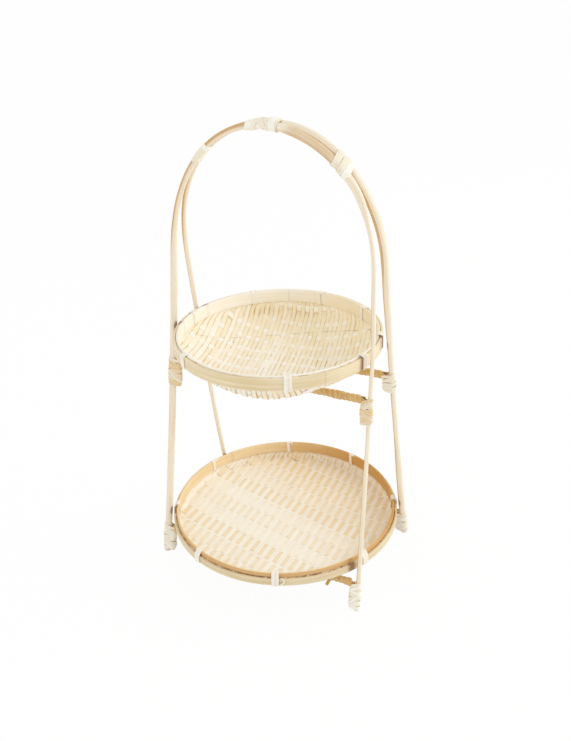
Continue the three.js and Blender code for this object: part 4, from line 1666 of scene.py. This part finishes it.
class RACK_OT_stage(RackOperator, bpy.types.Operator):
    """Sets the floor, the light and the camera"""

    bl_idname = "rack.make_stage"
    bl_label = "Stage"

    def make(self, rack):
        self.floor()
        self.lights()
        self.camera()

    def floor(self):
        """A wide floor that looks nearly white and takes a trace of shadow."""
        deselect()
        place = (0, 0, -FLOOR_DROP)
        bpy.ops.mesh.primitive_circle_add(vertices=96, radius=FLOOR_RADIUS, fill_type="NGON", location=place)
        floor = bpy.context.object
        floor.name = "floor"
        finish = Finish("pale_floor")
        finish.dress(Base_Color=(0.98, 0.98, 0.975), Roughness=0.9)
        rays = finish.nodes.new("ShaderNodeLightPath").outputs
        seen = Socket(finish, rays["Is Camera Ray"]) + Socket(finish, rays["Is Glossy Ray"])
        seen = seen + Socket(finish, rays["Is Transmission Ray"])
        pale = Socket(finish, finish.shader.outputs[0])
        white = finish.add("ShaderNodeEmission", {}, {"Color": WHITE, "Strength": 1.0})
        mixed = finish.add("ShaderNodeMixShader", {}, {0: seen * FLOOR_GLOW, 1: pale, 2: white})
        finish.links.new(mixed.output, finish.nodes["Material Output"].inputs["Surface"])
        floor.data.materials.append(finish.material)

    def lights(self):
        """Two broad lamps under a pale sky that is white to the camera."""
        scene = bpy.context.scene
        scene.world = bpy.data.worlds.new("studio")
        scene.world.use_nodes = True
        tree = scene.world.node_tree
        sky = tree.nodes["Background"]
        white = tree.nodes.new("ShaderNodeBackground")
        for node, tint, strength in ((sky, SKY_TINT, SKY_STRENGTH), (white, WHITE, 1.0)):
            node.inputs["Color"].default_value = (*tint, 1)
            node.inputs["Strength"].default_value = strength
        rays = tree.nodes.new("ShaderNodeLightPath")
        mixed = tree.nodes.new("ShaderNodeMixShader")
        tree.links.new(rays.outputs["Is Camera Ray"], mixed.inputs[0])
        tree.links.new(sky.outputs[0], mixed.inputs[1])
        tree.links.new(white.outputs[0], mixed.inputs[2])
        tree.links.new(mixed.outputs[0], tree.nodes["World Output"].inputs["Surface"])
        for name, (place, size, power, tint) in LAMPS.items():
            data = bpy.data.lights.new(name, "AREA")
            data.energy = power
            data.size = size
            data.color = tint
            lamp = bpy.data.objects.new(name, data)
            lamp.location = place
            lamp.rotation_euler = (LAMP_TARGET - Vector(place)).to_track_quat("-Z", "Y").to_euler()
            scene.collection.objects.link(lamp)
        scene.view_settings.view_transform = "Standard"

    def camera(self):
        """The photograph's view: turned, raised and rolled a little round a point on the rack."""
        azimuth = math.radians(28.091)
        elevation = math.radians(33.011)
        roll = math.radians(2.309)
        distance = 1.043911
        target = Vector((0.003113, 0.001388, 0.156962))
        image_height = 741
        focal_pixels = 814.968
        centre_row = 445
        data = bpy.data.cameras.new("camera")
        data.sensor_fit = "AUTO"
        data.sensor_width = 36
        data.lens = focal_pixels * data.sensor_width / image_height
        data.shift_y = (centre_row - image_height / 2) / image_height
        camera = bpy.data.objects.new("camera", data)
        level = math.cos(elevation)
        back = Vector((math.sin(azimuth) * level, -math.cos(azimuth) * level, math.sin(elevation)))
        place = Matrix.Translation(target + back * distance)
        turn = back.to_track_quat("Z", "Y").to_matrix().to_4x4()
        camera.matrix_world = place @ turn @ Matrix.Rotation(-roll, 4, "Z")
        bpy.context.scene.collection.objects.link(camera)
        bpy.context.scene.camera = camera


class RACK_PT_panel(bpy.types.Panel):
    """Buttons for the pieces of the rack, with their sizes and colours"""

    bl_label = "Tiered Rack"
    bl_idname = "RACK_PT_panel"
    bl_space_type = "VIEW_3D"
    bl_region_type = "UI"
    bl_category = "Rack"

    def draw(self, context):
        for operator in OPERATORS:
            self.layout.operator(operator.bl_idname)
        for group in ("canes", "peels", "rims", "weave", "finishes"):
            sizes = getattr(context.scene.rack, group)
            box = self.layout.box()
            for key in sizes.__annotations__:
                box.prop(sizes, key)


class RackSettings(bpy.types.PropertyGroup):
    """All sizes and colours of the rack"""

    canes: PointerProperty(type=RackCaneSizes)
    peels: PointerProperty(type=RackPeelSizes)
    rims: PointerProperty(type=RackRimSizes)
    weave: PointerProperty(type=RackWeaveSizes)
    finishes: PointerProperty(type=RackFinishes)


OPERATORS = (
    RACK_OT_stage,
    RACK_OT_hoops,
    RACK_OT_bars,
    RACK_OT_bar_wraps,
    RACK_OT_joint_lashings,
    RACK_OT_arch_lashings,
    RACK_OT_rims,
    RACK_OT_mats,
    RACK_OT_bindings,
)
GROUPS = (RackCaneSizes, RackPeelSizes, RackRimSizes, RackWeaveSizes, RackFinishes, RackSettings)
CLASSES = (*GROUPS, *OPERATORS, RACK_PT_panel)


def register():
    for each in CLASSES:
        bpy.utils.register_class(each)
    bpy.types.Scene.rack = PointerProperty(type=RackSettings)


def unregister():
    del bpy.types.Scene.rack
    for each in reversed(CLASSES):
        bpy.utils.unregister_class(each)


def main():
    register()
    bpy.ops.rack.make_stage()
    bpy.ops.rack.make_hoops()
    bpy.ops.rack.make_bars()
    bpy.ops.rack.make_bar_wraps()
    bpy.ops.rack.make_joint_lashings()
    bpy.ops.rack.make_arch_lashings()
    bpy.ops.rack.make_rims()
    bpy.ops.rack.make_mats()
    bpy.ops.rack.make_bindings()
    deselect()


if __name__ == "__main__":
    main()
